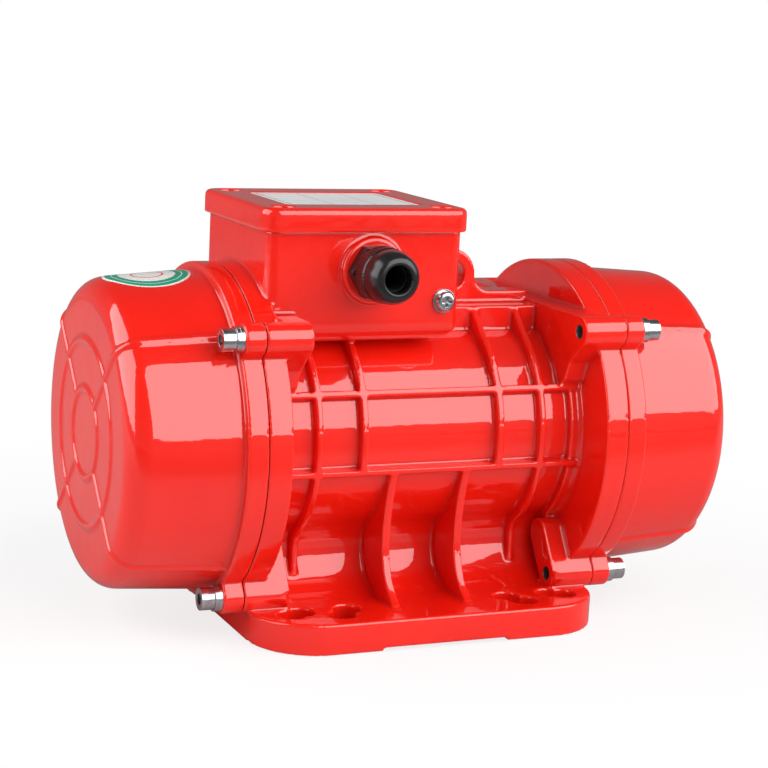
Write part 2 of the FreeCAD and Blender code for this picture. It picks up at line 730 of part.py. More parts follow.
def housing_hollows(piece):
    """Everything that is hollow in the casting or cut into it."""
    bore = sketch_on(piece, "bore", "XZ_Plane", rise="axis_height")
    outline(bore, mirrored([("half_housing", "0"),
                            ("half_housing", "recess_radius"),
                            ("half_housing - recess_depth", "recess_radius"),
                            ("half_housing - recess_depth", "bore_radius")]))
    groove(piece, bore)

    relief = sketch_on(piece, "relief", "XZ_Plane")
    outline(relief, mirrored([("relief_length / 2", "-1"), ("relief_length / 2", "relief_depth")]))
    pocket(piece, relief, "base_width + 2", both_ways=True)
    for name in ("inner", "main", "wide", "outer"):
        holes = sketch_on(piece, f"{name}_holes", "XY_Plane", lift="base_thickness + 8")
        circles(holes, corner_places(f"{name}_pitch_x", f"{name}_pitch_y"), "base_hole_radius")
        pocket(piece, holes, "base_thickness + 10")

    reach = sketch_on(piece, "gland_pad", "XZ_Plane", lift="box_front_y - box_wall")
    circles(reach, [("gland_x", "gland_height")], "gland_pad_radius")
    pad(piece, reach, "box_wall + gland_pad_height")
    cavity = sketch_on(piece, "box_cavity", "XY_Plane", lift="box_top_height")
    rounded_rectangle(cavity, ("box_centre_x", "0"), "box_length - 2 * box_wall",
                      "box_width - 2 * box_wall", "box_corner_radius")
    pocket(piece, cavity, "box_top_height - box_floor_height")
    pillars = sketch_on(piece, "lid_pillars", "XY_Plane", lift="box_floor_height - 1")
    circles(pillars, LID_SCREWS, "lid_pillar_radius")
    pad(piece, pillars, "box_top_height - box_floor_height + 1")
    holes = sketch_on(piece, "lid_screw_holes", "XY_Plane", lift="box_top_height")
    circles(holes, LID_SCREWS, "small_screw_radius")
    pocket(piece, holes, "14")
    passage = sketch_on(piece, "lead_passage", "XY_Plane", lift="box_floor_height + 1")
    circles(passage, [("box_centre_x", "0")], "lead_passage_radius")
    pocket(piece, passage, "box_floor_height - axis_height - bore_radius + 4")
    holes = sketch_on(piece, "board_screw_holes", "XY_Plane", lift="box_floor_height")
    circles(holes, BOARD_SCREWS, "stud_radius")
    pocket(piece, holes, "box_floor_thickness")
    hole = sketch_on(piece, "gland_hole", "XZ_Plane", lift="gland_face_y + 1")
    circles(hole, [("gland_x", "gland_height")], "gland_thread_radius")
    pocket(piece, hole, "box_wall + gland_pad_height + 2")
    hole = sketch_on(piece, "earth_hole", "XZ_Plane", lift="box_front_y + 1")
    circles(hole, [("earth_x", "earth_height")], "small_screw_radius")
    pocket(piece, hole, "9")

    threads = sketch_on(piece, "cover_bolt_holes", "YZ_Plane", lift="half_housing - boss_length - 1",
                        rise="axis_height")
    circles(threads, COVER_BOLTS, "bolt_radius")
    bolts = pocket(piece, threads, "boss_length + 2", forwards=True)
    threads = sketch_on(piece, "flange_screw_holes", "YZ_Plane", lift="half_housing",
                        rise="axis_height")
    circles(threads, FLANGE_SCREWS, "small_screw_radius")
    screws = pocket(piece, threads, "recess_depth + 10")
    repeat_across(piece, [bolts, screws], "threads")


# ---- Ends -------------------------------------------------------------------------------------


def cup_side(offset, start, turn):
    """The side and the rounded end of the cup, a distance outside its outer surface.

    Three corners: on the side at one X, where the rounding begins, and where it meets the end.
    """
    radius = f"(cup_corner_radius + {offset})"
    fall = "(cup_turn_x + cup_corner_radius * sin(cup_draft_angle)"
    return [(start, f"cup_face_radius + {radius} * cos(cup_draft_angle)"
                    f" + {fall} - ({start})) * tan(cup_draft_angle)"),
            (f"cup_turn_x + {radius} * sin(cup_draft_angle)",
             f"cup_face_radius + {radius} * cos(cup_draft_angle)"),
            (f"cover_length + {offset}", "cup_face_radius", radius, turn)]


def end_cover(side):
    """The deep cup over one set of weights, with raised beads on its end and sides."""
    piece = body(f"{side}_end_cover")
    place_at_end(piece, side)
    profile = sketch_on(piece, "cup", "XZ_Plane")
    bead_half = "sqrt(bead_radius ^ 2 - (bead_radius - bead_height) ^ 2)"
    corners = cup_side("-cover_wall", "0", "right") + [("cover_length - cover_wall", "0"),
                                                       ("cover_length", "0")]
    for ring in ("inner_bead_radius", "outer_bead_radius"):
        corners.append(("cover_length", f"{ring} - {bead_half}"))
        corners.append(("cover_length + bead_height", ring, "bead_radius", "left"))
        corners.append(("cover_length", f"{ring} + {bead_half}", "bead_radius", "left"))
    foot_end, turn_start, turn_end = cup_side("0", "cover_flange_width", "left")
    corners += [turn_end[:2], (*turn_start, *turn_end[2:]), foot_end,
                ("cover_flange_width", "flange_radius"), ("0", "flange_radius")]
    outline(profile, corners)
    revolve(piece, profile)

    section = sketch_on(piece, "ears", "YZ_Plane")
    bolt_arms(section, "cup_root_radius - 1", "cup_root_radius - 1")
    pad(piece, section, "cover_flange_width")
    ends = sketch_on(piece, "bosses", "YZ_Plane")
    circles(ends, COVER_BOLTS, "boss_radius")
    pad(piece, ends, "cover_flange_width")

    path = sketch_on(piece, "bead_path", "XZ_Plane", turn="bead_angle - 90")
    depth = "bead_height - bead_radius"
    start, turn_start, turn_end = cup_side(depth, "cover_flange_width - 1", "right")
    outline(path, [start, turn_start, turn_end, (turn_end[0], "inner_bead_radius")], closed=False)
    bead_start = sketch_on(piece, "bead_section", "YZ_Plane", lift="cover_flange_width - 1")
    circles(bead_start, [(f"({start[1]}) * cos(bead_angle)", f"({start[1]}) * sin(bead_angle)")],
            "bead_radius")
    bead = piece.newObject("PartDesign::AdditivePipe", f"{piece.Name}_bead")
    bead.Profile = bead_start
    bead.Spine = (path, ["Edge1", "Edge2", "Edge3"])
    repeat_round(piece, [bead], "4")

    seat = sketch_on(piece, "seal_groove", "XZ_Plane")
    half = "(seal_cord + 0.4) / 2"
    outline(seat, [("-1", f"seal_radius - {half}"),
                   ("seal_cord", f"seal_radius - {half}"),
                   ("seal_cord", f"seal_radius + {half}"),
                   ("-1", f"seal_radius + {half}")])
    groove(piece, seat)
    holes = sketch_on(piece, "bolt_holes", "YZ_Plane", lift="-1")
    circles(holes, COVER_BOLTS, "bolt_radius + bolt_clearance")
    pocket(piece, holes, "cover_flange_width + 2", forwards=True)


def cover_seal(side):
    """The round cord that seals an end cover on the housing."""
    piece = body(f"{side}_cover_seal")
    place_at_end(piece, side)
    cord = sketch_on(piece, "cord", "XZ_Plane")
    circles(cord, [("seal_cord / 2", "seal_radius")], "seal_cord / 2")
    revolve(piece, cord)


def bearing_flange(side):
    """The disc that carries one bearing and closes the motor towards the weights."""
    piece = body(f"{side}_bearing_flange")
    place_at_end(piece, side)
    profile = sketch_on(piece, "disc", "XZ_Plane")
    outside = "plate_stock - recess_depth"
    outline(profile, [
        ("bearing_inner_x - 1", "bearing_radius"),
        ("-bearing_inset", "bearing_radius"),
        ("-bearing_inset", "lip_radius"),
        ("-bearing_inset + hub_lip", "lip_radius"),
        (outside, "lip_radius + 5"),
        (outside, "recess_radius - 0.05"),
        ("-recess_depth", "recess_radius - 0.05"),
        ("-recess_depth", "hub_radius + 6"),
        ("-recess_depth - 6", "hub_radius", "6", "left"),
        ("bearing_inner_x - 1", "hub_radius")])
    revolve(piece, profile)
    heads = sketch_on(piece, "screw_heads", "YZ_Plane", lift=outside)
    circles(heads, FLANGE_SCREWS, "small_head_radius + bolt_clearance")
    pocket(piece, heads, "small_head_height + 0.2")
    holes = sketch_on(piece, "screw_holes", "YZ_Plane", lift=outside)
    circles(holes, FLANGE_SCREWS, "small_screw_radius + bolt_clearance")
    pocket(piece, holes, "plate_stock + 1")


def turned_piece(name, side, corners):
    """A plain turned piece on the shaft axis at one end, from its half section."""
    piece = body(name)
    place_at_end(piece, side)
    profile = sketch_on(piece, "section", "XZ_Plane")
    outline(profile, corners)
    revolve(piece, profile)
    return piece


def washer_corners(start, thickness, inside, outside):
    """The half section of a plain ring that begins at one X."""
    finish = f"{start} + {thickness}"
    return [(start, inside), (finish, inside), (finish, outside), (start, outside)]


def bearing(side):
    """One deep-groove ball bearing: two rings, the balls and their cage."""
    middle = "bearing_inner_x + bearing_width / 2"
    race = "ball_radius + race_clearance"
    for name, face, edge, turn in (("inner", "bearing_seat_radius", -1, "right"),
                                   ("outer", "bearing_radius", 1, "left")):
        shoulder = f"ball_pitch_radius + {edge} * ball_radius * 0.8"
        half = f"sqrt(({race}) ^ 2 - (ball_radius * 0.8) ^ 2)"
        corners = [("bearing_inner_x", face),
                   ("bearing_inner_x", shoulder),
                   (f"{middle} - {half}", shoulder),
                   (middle, f"ball_pitch_radius + {edge} * ({race})", race, "left"),
                   (f"{middle} + {half}", shoulder, race, "left"),
                   ("-bearing_inset", shoulder),
                   ("-bearing_inset", face)]
        if name == "outer":
            corners = [(*corner[:3], "right") if len(corner) == 4 else corner for corner in corners]
        turned_piece(f"{side}_bearing_{name}_ring", side, corners)

    cage = turned_piece(f"{side}_bearing_cage", side, washer_corners(
        f"{middle} - cage_width / 2", "cage_width", "ball_pitch_radius - cage_thickness / 2",
        "ball_pitch_radius + cage_thickness / 2"))
    pocket_ball = cage.newObject("PartDesign::SubtractiveSphere", f"{cage.Name}_pocket")
    pocket_ball.setExpression("Radius", bound("ball_radius + race_clearance"))
    pocket_ball.setExpression("Placement.Base.x", bound(middle))
    pocket_ball.setExpression("Placement.Base.z", bound("ball_pitch_radius"))
    repeat_round(cage, [pocket_ball], "ball_count")

    balls = []
    for number in range(int(size("ball_count"))):
        ball = doc.addObject("Part::Sphere", f"{side}_ball_{number + 1}")
        ball.setExpression("Radius", bound("ball_radius"))
        angle = f"(360 / ball_count * {number})"
        place(ball, end_x(side, f"({middle})"), f"ball_pitch_radius * sin({angle})",
              f"axis_height + ball_pitch_radius * cos({angle})")
        balls.append(ball)
    group(f"{side}_bearing_balls", balls)


def group(name, members):
    """Several separate solids that share one sub-part."""
    piece = doc.addObject("Part::Compound", name)
    piece.Label = name
    piece.Links = members
    sub_parts.append(piece)
    return piece


# ---- Rotor and weights ------------------------------------------------------------------------


def shaft():
    """The stepped shaft, with ring grooves and keyways near both ends."""
    piece = body("shaft")
    place(piece, up="axis_height")
    profile = sketch_on(piece, "steps", "XZ_Plane")
    x = "half_housing +"
    depth = "weight_seat_radius - 0.6"
    outline(profile, mirrored([
        (f"{x} shaft_overhang", "0"),
        (f"{x} shaft_overhang", "weight_seat_radius - 1"),
        (f"{x} shaft_overhang - 1", "weight_seat_radius"),
        (f"{x} circlip_x + circlip_thickness", "weight_seat_radius"),
        (f"{x} circlip_x + circlip_thickness", depth),
        (f"{x} circlip_x", depth),
        (f"{x} circlip_x", "weight_seat_radius"),
        (f"{x} -bearing_inset", "weight_seat_radius"),
        (f"{x} -bearing_inset", "bearing_seat_radius"),
        (f"{x} bearing_inner_x", "bearing_seat_radius"),
        (f"{x} bearing_inner_x", "journal_radius"),
        ("core_length / 2", "journal_radius"),
        ("core_length / 2", "core_seat_radius")]))
    revolve(piece, profile)
    way = sketch_on(piece, "keyway", "XY_Plane", lift="weight_seat_radius + 1")
    start = f"{x} fixed_weight_x"
    outline(way, [(start, "-key_width / 2"),
                  (f"{start} + weight_thickness", "-key_width / 2"),
                  (f"{start} + weight_thickness", "key_width / 2"),
                  (start, "key_width / 2")])
    keyway = pocket(piece, way, "key_width / 2 + 1")
    repeat_across(piece, [keyway], "keyways")


def half_disc(radius):
    """The lower half of a disc round the shaft axis, as corners from left to right."""
    return [(f"-{radius}", "0"),
            ("0", f"-{radius}", radius, "left"),
            (radius, "0", radius, "left")]


def fixed_weight(side):
    """The eccentric weight keyed to the shaft next to the bearing."""
    piece = body(f"{side}_fixed_weight")
    place_at_end(piece, side)
    face = sketch_on(piece, "face", "YZ_Plane", lift="fixed_weight_x")
    hub = "weight_seat_radius * 2"
    outline(face, half_disc("weight_radius") + [
        (hub, "0"), ("0", hub, hub, "left"), (f"-({hub})", "0", hub, "left")])
    pad(piece, face, "weight_thickness")
    seat = sketch_on(piece, "bore", "YZ_Plane", lift="fixed_weight_x - 1")
    circles(seat, [("0", "0")], "weight_seat_radius")
    pocket(piece, seat, "weight_thickness + 2", forwards=True)
    way = sketch_on(piece, "keyway", "YZ_Plane", lift="fixed_weight_x - 1")
    outline(way, mirrored([("key_width / 2", "weight_seat_radius / 2"),
                           ("key_width / 2", "weight_seat_radius + key_width / 2")]))
    pocket(piece, way, "weight_thickness + 2", forwards=True)


def shaft_key(side):
    """The parallel key between the shaft and the fixed weight."""
    key = doc.addObject("Part::Box", f"{side}_shaft_key")
    key.Label = f"{side}_shaft_key"
    key.setExpression("Length", bound("weight_thickness"))
    key.setExpression("Width", bound("key_width"))
    key.setExpression("Height", bound("key_width"))
    start = "fixed_weight_x" if side == "right" else "fixed_weight_x + weight_thickness"
    place(key, end_x(side, start), "-key_width / 2",
          "axis_height + weight_seat_radius - key_width / 2")
    sub_parts.append(key)


def adjustable_weight(side):
    """The eccentric weight that is clamped on the shaft and can be turned against the fixed one."""
    piece = body(f"{side}_adjustable_weight")
    place_at_end(piece, side)
    face = sketch_on(piece, "face", "YZ_Plane", lift="adjustable_weight_x")
    outline(face, half_disc("weight_radius") + [
        ("hub_width / 2", "0"), ("hub_width / 2", "hub_height"),
        ("-hub_width / 2", "hub_height"), ("-hub_width / 2", "0")])
    pad(piece, face, "weight_thickness")
    seat = sketch_on(piece, "bore", "YZ_Plane", lift="adjustable_weight_x - 1")
    circles(seat, [("0", "0")], "weight_seat_radius + weight_bore_clearance")
    pocket(piece, seat, "weight_thickness + 2", forwards=True)
    split = sketch_on(piece, "split", "YZ_Plane", lift="adjustable_weight_x - 1")
    outline(split, mirrored([("clamp_slot / 2", "0"), ("clamp_slot / 2", "hub_height + 1")]))
    pocket(piece, split, "weight_thickness + 2", forwards=True)
    middle = ("adjustable_weight_x + weight_thickness / 2", "clamp_bolt_height")
    hole = sketch_on(piece, "clamp_hole", "XZ_Plane", lift="hub_width / 2 + 1")
    circles(hole, [middle], "bolt_radius")
    pocket(piece, hole, "hub_width + 2")
    head = sketch_on(piece, "clamp_head", "XZ_Plane", lift="hub_width / 2 + 1")
    circles(head, [middle], "bolt_head_radius + bolt_clearance")
    pocket(piece, head, "bolt_head_height + 1")


def clamp_bolt(side):
    """The screw that closes the split hub of the adjustable weight."""
    screw = socket_screw(f"{side}_clamp_bolt", "bolt_radius", "hub_width - bolt_head_height",
                         "bolt_head_radius", "bolt_head_height")
    sign = SIGN[side]
    facing = FreeCAD.Vector(0, -sign, 0)
    place(screw, end_x(side, "adjustable_weight_x + weight_thickness / 2"),
          f"{-sign} * (hub_width / 2 - bolt_head_height)", "axis_height + clamp_bolt_height", facing)
    screw.Label = f"{side}_clamp_bolt"
    sub_parts.append(screw)


def rotor_parts():
    """The laminated core on the shaft, with the end rings of its cage."""
    core = body("rotor_core")
    place(core, up="axis_height")
    profile = sketch_on(core, "section", "XZ_Plane")
    outline(profile, washer_corners("-core_length / 2", "core_length", "core_seat_radius",
                                    "rotor_radius"))
    revolve(core, profile)
    rings = body("rotor_end_rings")
    place(rings, up="axis_height")
    profile = sketch_on(rings, "section", "XZ_Plane")
    outline(profile, washer_corners("core_length / 2", "end_ring_width", "rotor_radius * 0.62",
                                    "rotor_radius - 0.6"))
    ring = revolve(rings, profile)
    repeat_across(rings, [ring], "pair")


def stator_parts():
    """The laminated core pressed into the barrel, and the winding heads at both ends of it."""
    core = body("stator_core")
    place(core, up="axis_height")
    profile = sketch_on(core, "section", "XZ_Plane")
    outline(profile, washer_corners("-core_length / 2", "core_length", "stator_bore_radius",
                                    "bore_radius"))
    revolve(core, profile)
    for side in SIGN:
        heads = body(f"{side}_winding_head")
        place(heads, up="axis_height")
        if side == "left":
            heads.Placement = FreeCAD.Placement(FreeCAD.Vector(), FreeCAD.Rotation(UP, 180))
            place(heads, up="axis_height")
        profile = sketch_on(heads, "section", "XZ_Plane")
        inside, outside = "stator_bore_radius + 2", "bore_radius - 3"
        finish = "core_length / 2 + winding_overhang"
        outline(profile, [
            ("core_length / 2", inside),
            (f"{finish} - 5", inside),
            (finish, f"{inside} + 5", "5", "left"),
            (finish, f"{outside} - 5"),
            (f"{finish} - 5", outside, "5", "left"),
            ("core_length / 2", outside)])
        revolve(heads, profile)


# ---- Fasteners --------------------------------------------------------------------------------


def cylinder(name, radius, height, start="0"):
    """A cylinder along its own +Z that starts at one height."""
    solid = doc.addObject("Part::Cylinder", name)
    solid.setExpression("Radius", bound(radius))
    solid.setExpression("Height", bound(height))
    solid.setExpression("Placement.Base.z", bound(start))
    return solid


def boolean(kind, name, base, tool):
    """A Part boolean of two objects: Cut or Fuse."""
    result = doc.addObject(f"Part::{kind}", name)
    result.Base = base
    result.Tool = tool
    return result


def socket_screw(name, radius, length, head_radius, head_height):
    """A socket head screw: its head stands on z = 0 and its shank reaches down."""
    shank = cylinder(f"{name}_shank", radius, f"({length}) + 0.5", f"-({length})")
    head = cylinder(f"{name}_head", head_radius, head_height)
    solid = boolean("Fuse", f"{name}_solid", head, shank)
    socket = doc.addObject("Part::Prism", f"{name}_socket")
    socket.Polygon = 6
    socket.setExpression("Circumradius", bound(f"{radius} * 0.96"))
    socket.setExpression("Height", bound(head_height))
    socket.setExpression("Placement.Base.z", bound(f"({head_height}) / 2"))
    return boolean("Cut", name, solid, socket)


def washer(name, radius, hole, thickness):
    """A plain washer that lies on z = 0."""
    disc = cylinder(f"{name}_disc", radius, thickness)
    return boolean("Cut", name, disc, cylinder(f"{name}_hole", hole, f"{thickness} + 2", "-1"))


def cover_fasteners(side):
    """Four socket head bolts with flat and spring washers that hold one end cover."""
    outwards = outward(side)
    sets = (("cover_bolts", "bolt_seat_x",
             lambda name: socket_screw(name, "bolt_radius", "bolt_length", "bolt_head_radius",
                                       "bolt_head_height")),
            ("flat_washers", "cover_flange_width",
             lambda name: washer(name, "flat_washer_radius", "bolt_radius + 0.1",
                                 "flat_washer_thickness")),
            ("spring_washers", "cover_flange_width + flat_washer_thickness",
             lambda name: washer(name, "spring_washer_radius", "bolt_radius + 0.1",
                                 "spring_washer_thickness")))
    for kind, seat, make in sets:
        members = []
        for number, (across, up) in enumerate(COVER_BOLTS, start=1):
            member = make(f"{side}_{kind}_{number}")
            place(member, end_x(side, seat), across, f"axis_height + {up}", outwards)
            members.append(member)
        group(f"{side}_{kind}", members)


def flange_screws(side):
    """Four screws that hold one bearing flange in the housing."""
    members = []
    for number, (across, up) in enumerate(FLANGE_SCREWS, start=1):
        screw = socket_screw(f"{side}_flange_screw_{number}", "small_screw_radius", "12",
                             "small_head_radius", "small_head_height")
        seat = "plate_stock - recess_depth - small_head_height - 0.2"
        place(screw, end_x(side, seat), across, f"axis_height + {up}", outward(side))
        members.append(screw)
    group(f"{side}_flange_screws", members)


# ---- Terminal box -----------------------------------------------------------------------------


def terminal_box_lid():
    """The cast lid, with a shallow recess for the nameplate and sunk screw seats."""
    piece = body("terminal_box_lid")
    centre = ("box_centre_x", "0")
    plan = sketch_on(piece, "plan", "XY_Plane", lift="lid_height")
    rounded_rectangle(plan, centre, "lid_length", "lid_width", "lid_corner_radius")
    pad(piece, plan, "lid_thickness")
    soften(piece, "lid_edge_radius", at_height("lid_top_height"), "top_edge")
    rim = sketch_on(piece, "skirt", "XY_Plane", lift="lid_height - lid_skirt")
    rounded_rectangle(rim, centre, "lid_length", "lid_width", "lid_corner_radius")
    rounded_rectangle(rim, centre, "box_length + bolt_clearance", "box_width + bolt_clearance",
                      "box_corner_radius + bolt_clearance / 2")
    pad(piece, rim, "lid_skirt + 1")
    hollow = sketch_on(piece, "hollow", "XY_Plane", lift="lid_height - 1")
    rounded_rectangle(hollow, centre, "box_length - 2 * box_wall", "box_width - 2 * box_wall",
                      "box_corner_radius")
    pocket(piece, hollow, "lid_thickness - lid_wall + 1", forwards=True)
    posts = sketch_on(piece, "posts", "XY_Plane", lift="lid_height")
    circles(posts, LID_SCREWS, "lid_pillar_radius")
    pad(piece, posts, "lid_thickness - lid_wall + 1")
    recess = sketch_on(piece, "recess", "XY_Plane", lift="lid_top_height")
    rounded_rectangle(recess, centre, "plate_length + 0.6", "plate_width + 0.6", "2.3")
    pocket(piece, recess, "plate_recess")
    seats = sketch_on(piece, "screw_seats", "XY_Plane", lift="lid_top_height")
    circles(seats, LID_SCREWS, "lid_screw_seat")
    pocket(piece, seats, "small_head_height")
    holes = sketch_on(piece, "screw_holes", "XY_Plane", lift="lid_top_height")
    circles(holes, LID_SCREWS, "small_screw_radius + bolt_clearance")
    pocket(piece, holes, "lid_thickness + 1")


def terminal_board():
    """The moulded board on two feet over the lead passage, with its six studs."""
    piece = body("terminal_block")
    side = sketch_on(piece, "side", "XZ_Plane")
    left, right = "box_centre_x - board_length / 2", "box_centre_x + board_length / 2"
    outline(side, [(left, "box_floor_height"),
                   (f"{left} + board_foot", "box_floor_height"),
                   (f"{left} + board_foot", "box_floor_height + board_lift"),
                   (f"{right} - board_foot", "box_floor_height + board_lift"),
                   (f"{right} - board_foot", "box_floor_height"),
                   (right, "box_floor_height"),
                   (right, "board_top_height"),
                   (left, "board_top_height")])
    pad(piece, side, "board_width", both_ways=True)
    walls = sketch_on(piece, "walls", "XZ_Plane")
    for sign in (1, -1):
        middle = f"box_centre_x + {sign} * stud_pitch_x / 2"
        outline(walls, [(f"{middle} - 0.8", "board_top_height - 1"),
                        (f"{middle} + 0.8", "board_top_height - 1"),
                        (f"{middle} + 0.8", "board_top_height + board_lift"),
                        (f"{middle} - 0.8", "board_top_height + board_lift")])
    pad(piece, walls, "board_width", both_ways=True)
    holes = sketch_on(piece, "holes", "XY_Plane", lift="board_top_height")
    circles(holes, STUDS + BOARD_SCREWS, "stud_radius")
    pocket(piece, holes, "board_lift + board_thickness")

    makers = (("terminal_studs", "board_top_height - board_thickness",
               lambda name: cylinder(name, "stud_radius", "stud_length")),
              ("terminal_nuts", "board_top_height + link_thickness", hexagon_nut))
    for kind, seat, make in makers:
        members = []
        for number, (across, deep) in enumerate(STUDS, start=1):
            member = make(f"{kind}_{number}")
            place(member, across, deep, seat)
            members.append(member)
        group(kind, members)
    screws = []
    for number, (across, deep) in enumerate(BOARD_SCREWS, start=1):
        screw = socket_screw(f"terminal_board_screw_{number}", "stud_radius",
                             "board_lift + board_thickness + box_floor_thickness - 1",
                             "stud_radius * 1.75", "stud_radius * 2")
        place(screw, across, deep, "board_top_height")
        screws.append(screw)
    group("terminal_board_screws", screws)

    links = body("terminal_links")
    half = "stud_radius * 1.7"
    plan = sketch_on(links, "plan", "XY_Plane", lift="board_top_height")
    for column in (-1, 0, 1):
        rounded_rectangle(plan, (f"box_centre_x + {column} * stud_pitch_x", "0"),
                          f"2 * {half}", f"stud_pitch_y + 2 * {half}", f"{half} - 0.1")
    circles(plan, STUDS, "stud_radius")
    pad(links, plan, "link_thickness")


def hexagon_nut(name):
    """A hexagon nut for one terminal stud that lies on z = 0."""
    solid = doc.addObject("Part::Prism", f"{name}_hexagon")
    solid.Polygon = 6
    solid.setExpression("Circumradius", bound("stud_radius * 2"))
    solid.setExpression("Height", bound("terminal_nut_height"))
    hole = cylinder(f"{name}_hole", "stud_radius", "terminal_nut_height + 2", "-1")
    return boolean("Cut", name, solid, hole)


def lid_gasket():
    """The flat rubber gasket between the box and its lid."""
    piece = body("lid_gasket")
    centre = ("box_centre_x", "0")
    plan = sketch_on(piece, "plan", "XY_Plane", lift="box_top_height")
    rounded_rectangle(plan, centre, "box_length", "box_width", "box_corner_radius")
    rounded_rectangle(plan, centre, "box_length - 2 * box_wall", "box_width - 2 * box_wall",
                      "box_corner_radius")
    pad(piece, plan, "gasket_thickness")
    eyes = sketch_on(piece, "eyes", "XY_Plane", lift="box_top_height")
    circles(eyes, LID_SCREWS, "lid_pillar_radius")
    pad(piece, eyes, "gasket_thickness")
    holes = sketch_on(piece, "holes", "XY_Plane", lift="lid_height + 1")
    circles(holes, LID_SCREWS, "small_screw_radius + bolt_clearance")
    pocket(piece, holes, "gasket_thickness + 2")


def lid_screws():
    """Four socket head screws that hold the lid."""
    members = []
    for number, (across, deep) in enumerate(LID_SCREWS, start=1):
        screw = socket_screw(f"lid_screw_{number}", "small_screw_radius", "16",
                             "small_head_radius", "small_head_height - 1")
        place(screw, across, deep, "lid_top_height - small_head_height")
        members.append(screw)
    group("lid_screws", members)


def nameplate():
    """A thin plate with nothing on it, in the recess of the lid."""
    piece = body("nameplate")
    plan = sketch_on(piece, "plan", "XY_Plane", lift="lid_top_height - plate_recess")
    rounded_rectangle(plan, ("box_centre_x", "0"), "plate_length", "plate_width", "2")
    pad(piece, plan, "plate_thickness")


def cable_gland():
    """The screwed nylon gland in the front wall: body, sealing ring and domed nut."""
    base = {"across": "gland_x", "deep": "-gland_face_y", "up": "gland_height", "facing": FRONT}
    piece = body("gland_body")
    place(piece, **base)
    hexagon = sketch_on(piece, "hexagon", "XY_Plane")
    across = "gland_flats / 2"
    outline(hexagon, [(f"{across} / cos(30) * cos({60 * step})",
                       f"{across} / cos(30) * sin({60 * step})") for step in range(6)])
    pad(piece, hexagon, "gland_hex_width")
    thread = sketch_on(piece, "thread", "XY_Plane", lift="-box_wall - gland_pad_height - 1")
    circles(thread, [("0", "0")], "gland_thread_radius")
    pad(piece, thread, "box_wall + gland_pad_height + gland_hex_width + 7")
    hole = sketch_on(piece, "hole", "XY_Plane", lift="gland_hex_width + 8")
    circles(hole, [("0", "0")], "cable_hole_radius + 0.75")
    pocket(piece, hole, "box_wall + gland_pad_height + gland_hex_width + 12")

    seal = body("gland_seal")
    place(seal, **base)
    section = sketch_on(seal, "section", "XZ_Plane")
    start = "gland_hex_width + 6"
    outline(section, [("cable_hole_radius", start), ("gland_thread_radius", start),
                      ("gland_thread_radius", f"{start} + 5"),
                      ("cable_hole_radius + 1", f"{start} + 9"),
                      ("cable_hole_radius", f"{start} + 9")])
    revolve(seal, section, "V_Axis")

    nut = body("gland_nut")
    place(nut, **base)
    section = sketch_on(nut, "section", "XZ_Plane")
    outline(section, [
        ("gland_thread_radius", "gland_hex_width + 1"),
        ("gland_nut_radius", "gland_hex_width + 1"),
        ("gland_nut_radius", "gland_reach / 2"),
        ("gland_nose_radius", "gland_reach / 2 + 2"),
        ("gland_nose_radius", "gland_reach - 8"),
        ("gland_mouth_radius + 0.6", "gland_reach", "11", "left"),
        ("gland_mouth_radius", "gland_reach"),
        ("cable_hole_radius", "gland_reach - 5"),
        ("cable_hole_radius", f"{start} + 9"),
        ("cable_hole_radius + 1", f"{start} + 9"),
        ("gland_thread_radius", f"{start} + 5")])
    revolve(nut, section, "V_Axis")
    flute = sketch_on(nut, "flute", "XY_Plane", lift="gland_hex_width")
    circles(flute, [("gland_nut_radius + 0.45", "0")], "1")
    groove_cut = pocket(nut, flute, "gland_reach / 2 - gland_hex_width", forwards=True)
    repeat_round(nut, [groove_cut], "24", "Z_Axis")


def earth_terminal():
    """The earth screw and its washer on the front wall of the box."""
    ring = washer("earth_washer", "earth_washer_radius", "small_screw_radius + 0.1", "1")
    place(ring, "earth_x", "-box_front_y", "earth_height", FRONT)
    ring.Label = "earth_washer"
    sub_parts.append(ring)
    piece = body("earth_screw")
    place(piece, "earth_x", "-box_front_y - 1", "earth_height", FRONT)
    section = sketch_on(piece, "section", "XZ_Plane")
    outline(section, [("0", "-7"), ("small_screw_radius", "-7"), ("small_screw_radius", "0"),
                      ("small_head_radius + 0.4", "0"), ("small_head_radius + 0.4", "1.6"),
                      ("small_head_radius - 1.2", "3.2", "2.4", "left"), ("0", "3.2")])
    revolve(piece, section, "V_Axis")
    cross = sketch_on(piece, "cross", "XY_Plane", lift="3.3")
    arm, reach = "0.7", "2.4"
    outline(cross, [(reach, f"-{arm}"), (reach, arm), (arm, arm), (arm, reach), (f"-{arm}", reach),
                    (f"-{arm}", arm), (f"-{reach}", arm), (f"-{reach}", f"-{arm}"),
                    (f"-{arm}", f"-{arm}"), (f"-{arm}", f"-{reach}"), (arm, f"-{reach}"),
                    (arm, f"-{arm}")])
    pocket(piece, cross, "1.8")


# ---- The whole motor --------------------------------------------------------------------------


def one_end(side):
    """Everything that is mounted at one end of the housing."""
    end_cover(side)
    cover_seal(side)
    cover_fasteners(side)
    bearing_flange(side)
    flange_screws(side)
    bearing(side)
    turned_piece(f"{side}_spacer", side, washer_corners(
        "-bearing_inset", "spacer_length", "weight_seat_radius", "weight_seat_radius * 1.5"))
    fixed_weight(side)
    shaft_key(side)
    adjustable_weight(side)
    clamp_bolt(side)
    turned_piece(f"{side}_shaft_washer", side, washer_corners(
        "retainer_x", "flat_washer_thickness", "weight_seat_radius", "weight_seat_radius * 1.7"))
    turned_piece(f"{side}_circlip", side, washer_corners(
        "circlip_x", "circlip_thickness", "weight_seat_radius - 0.6", "weight_seat_radius * 1.35"))


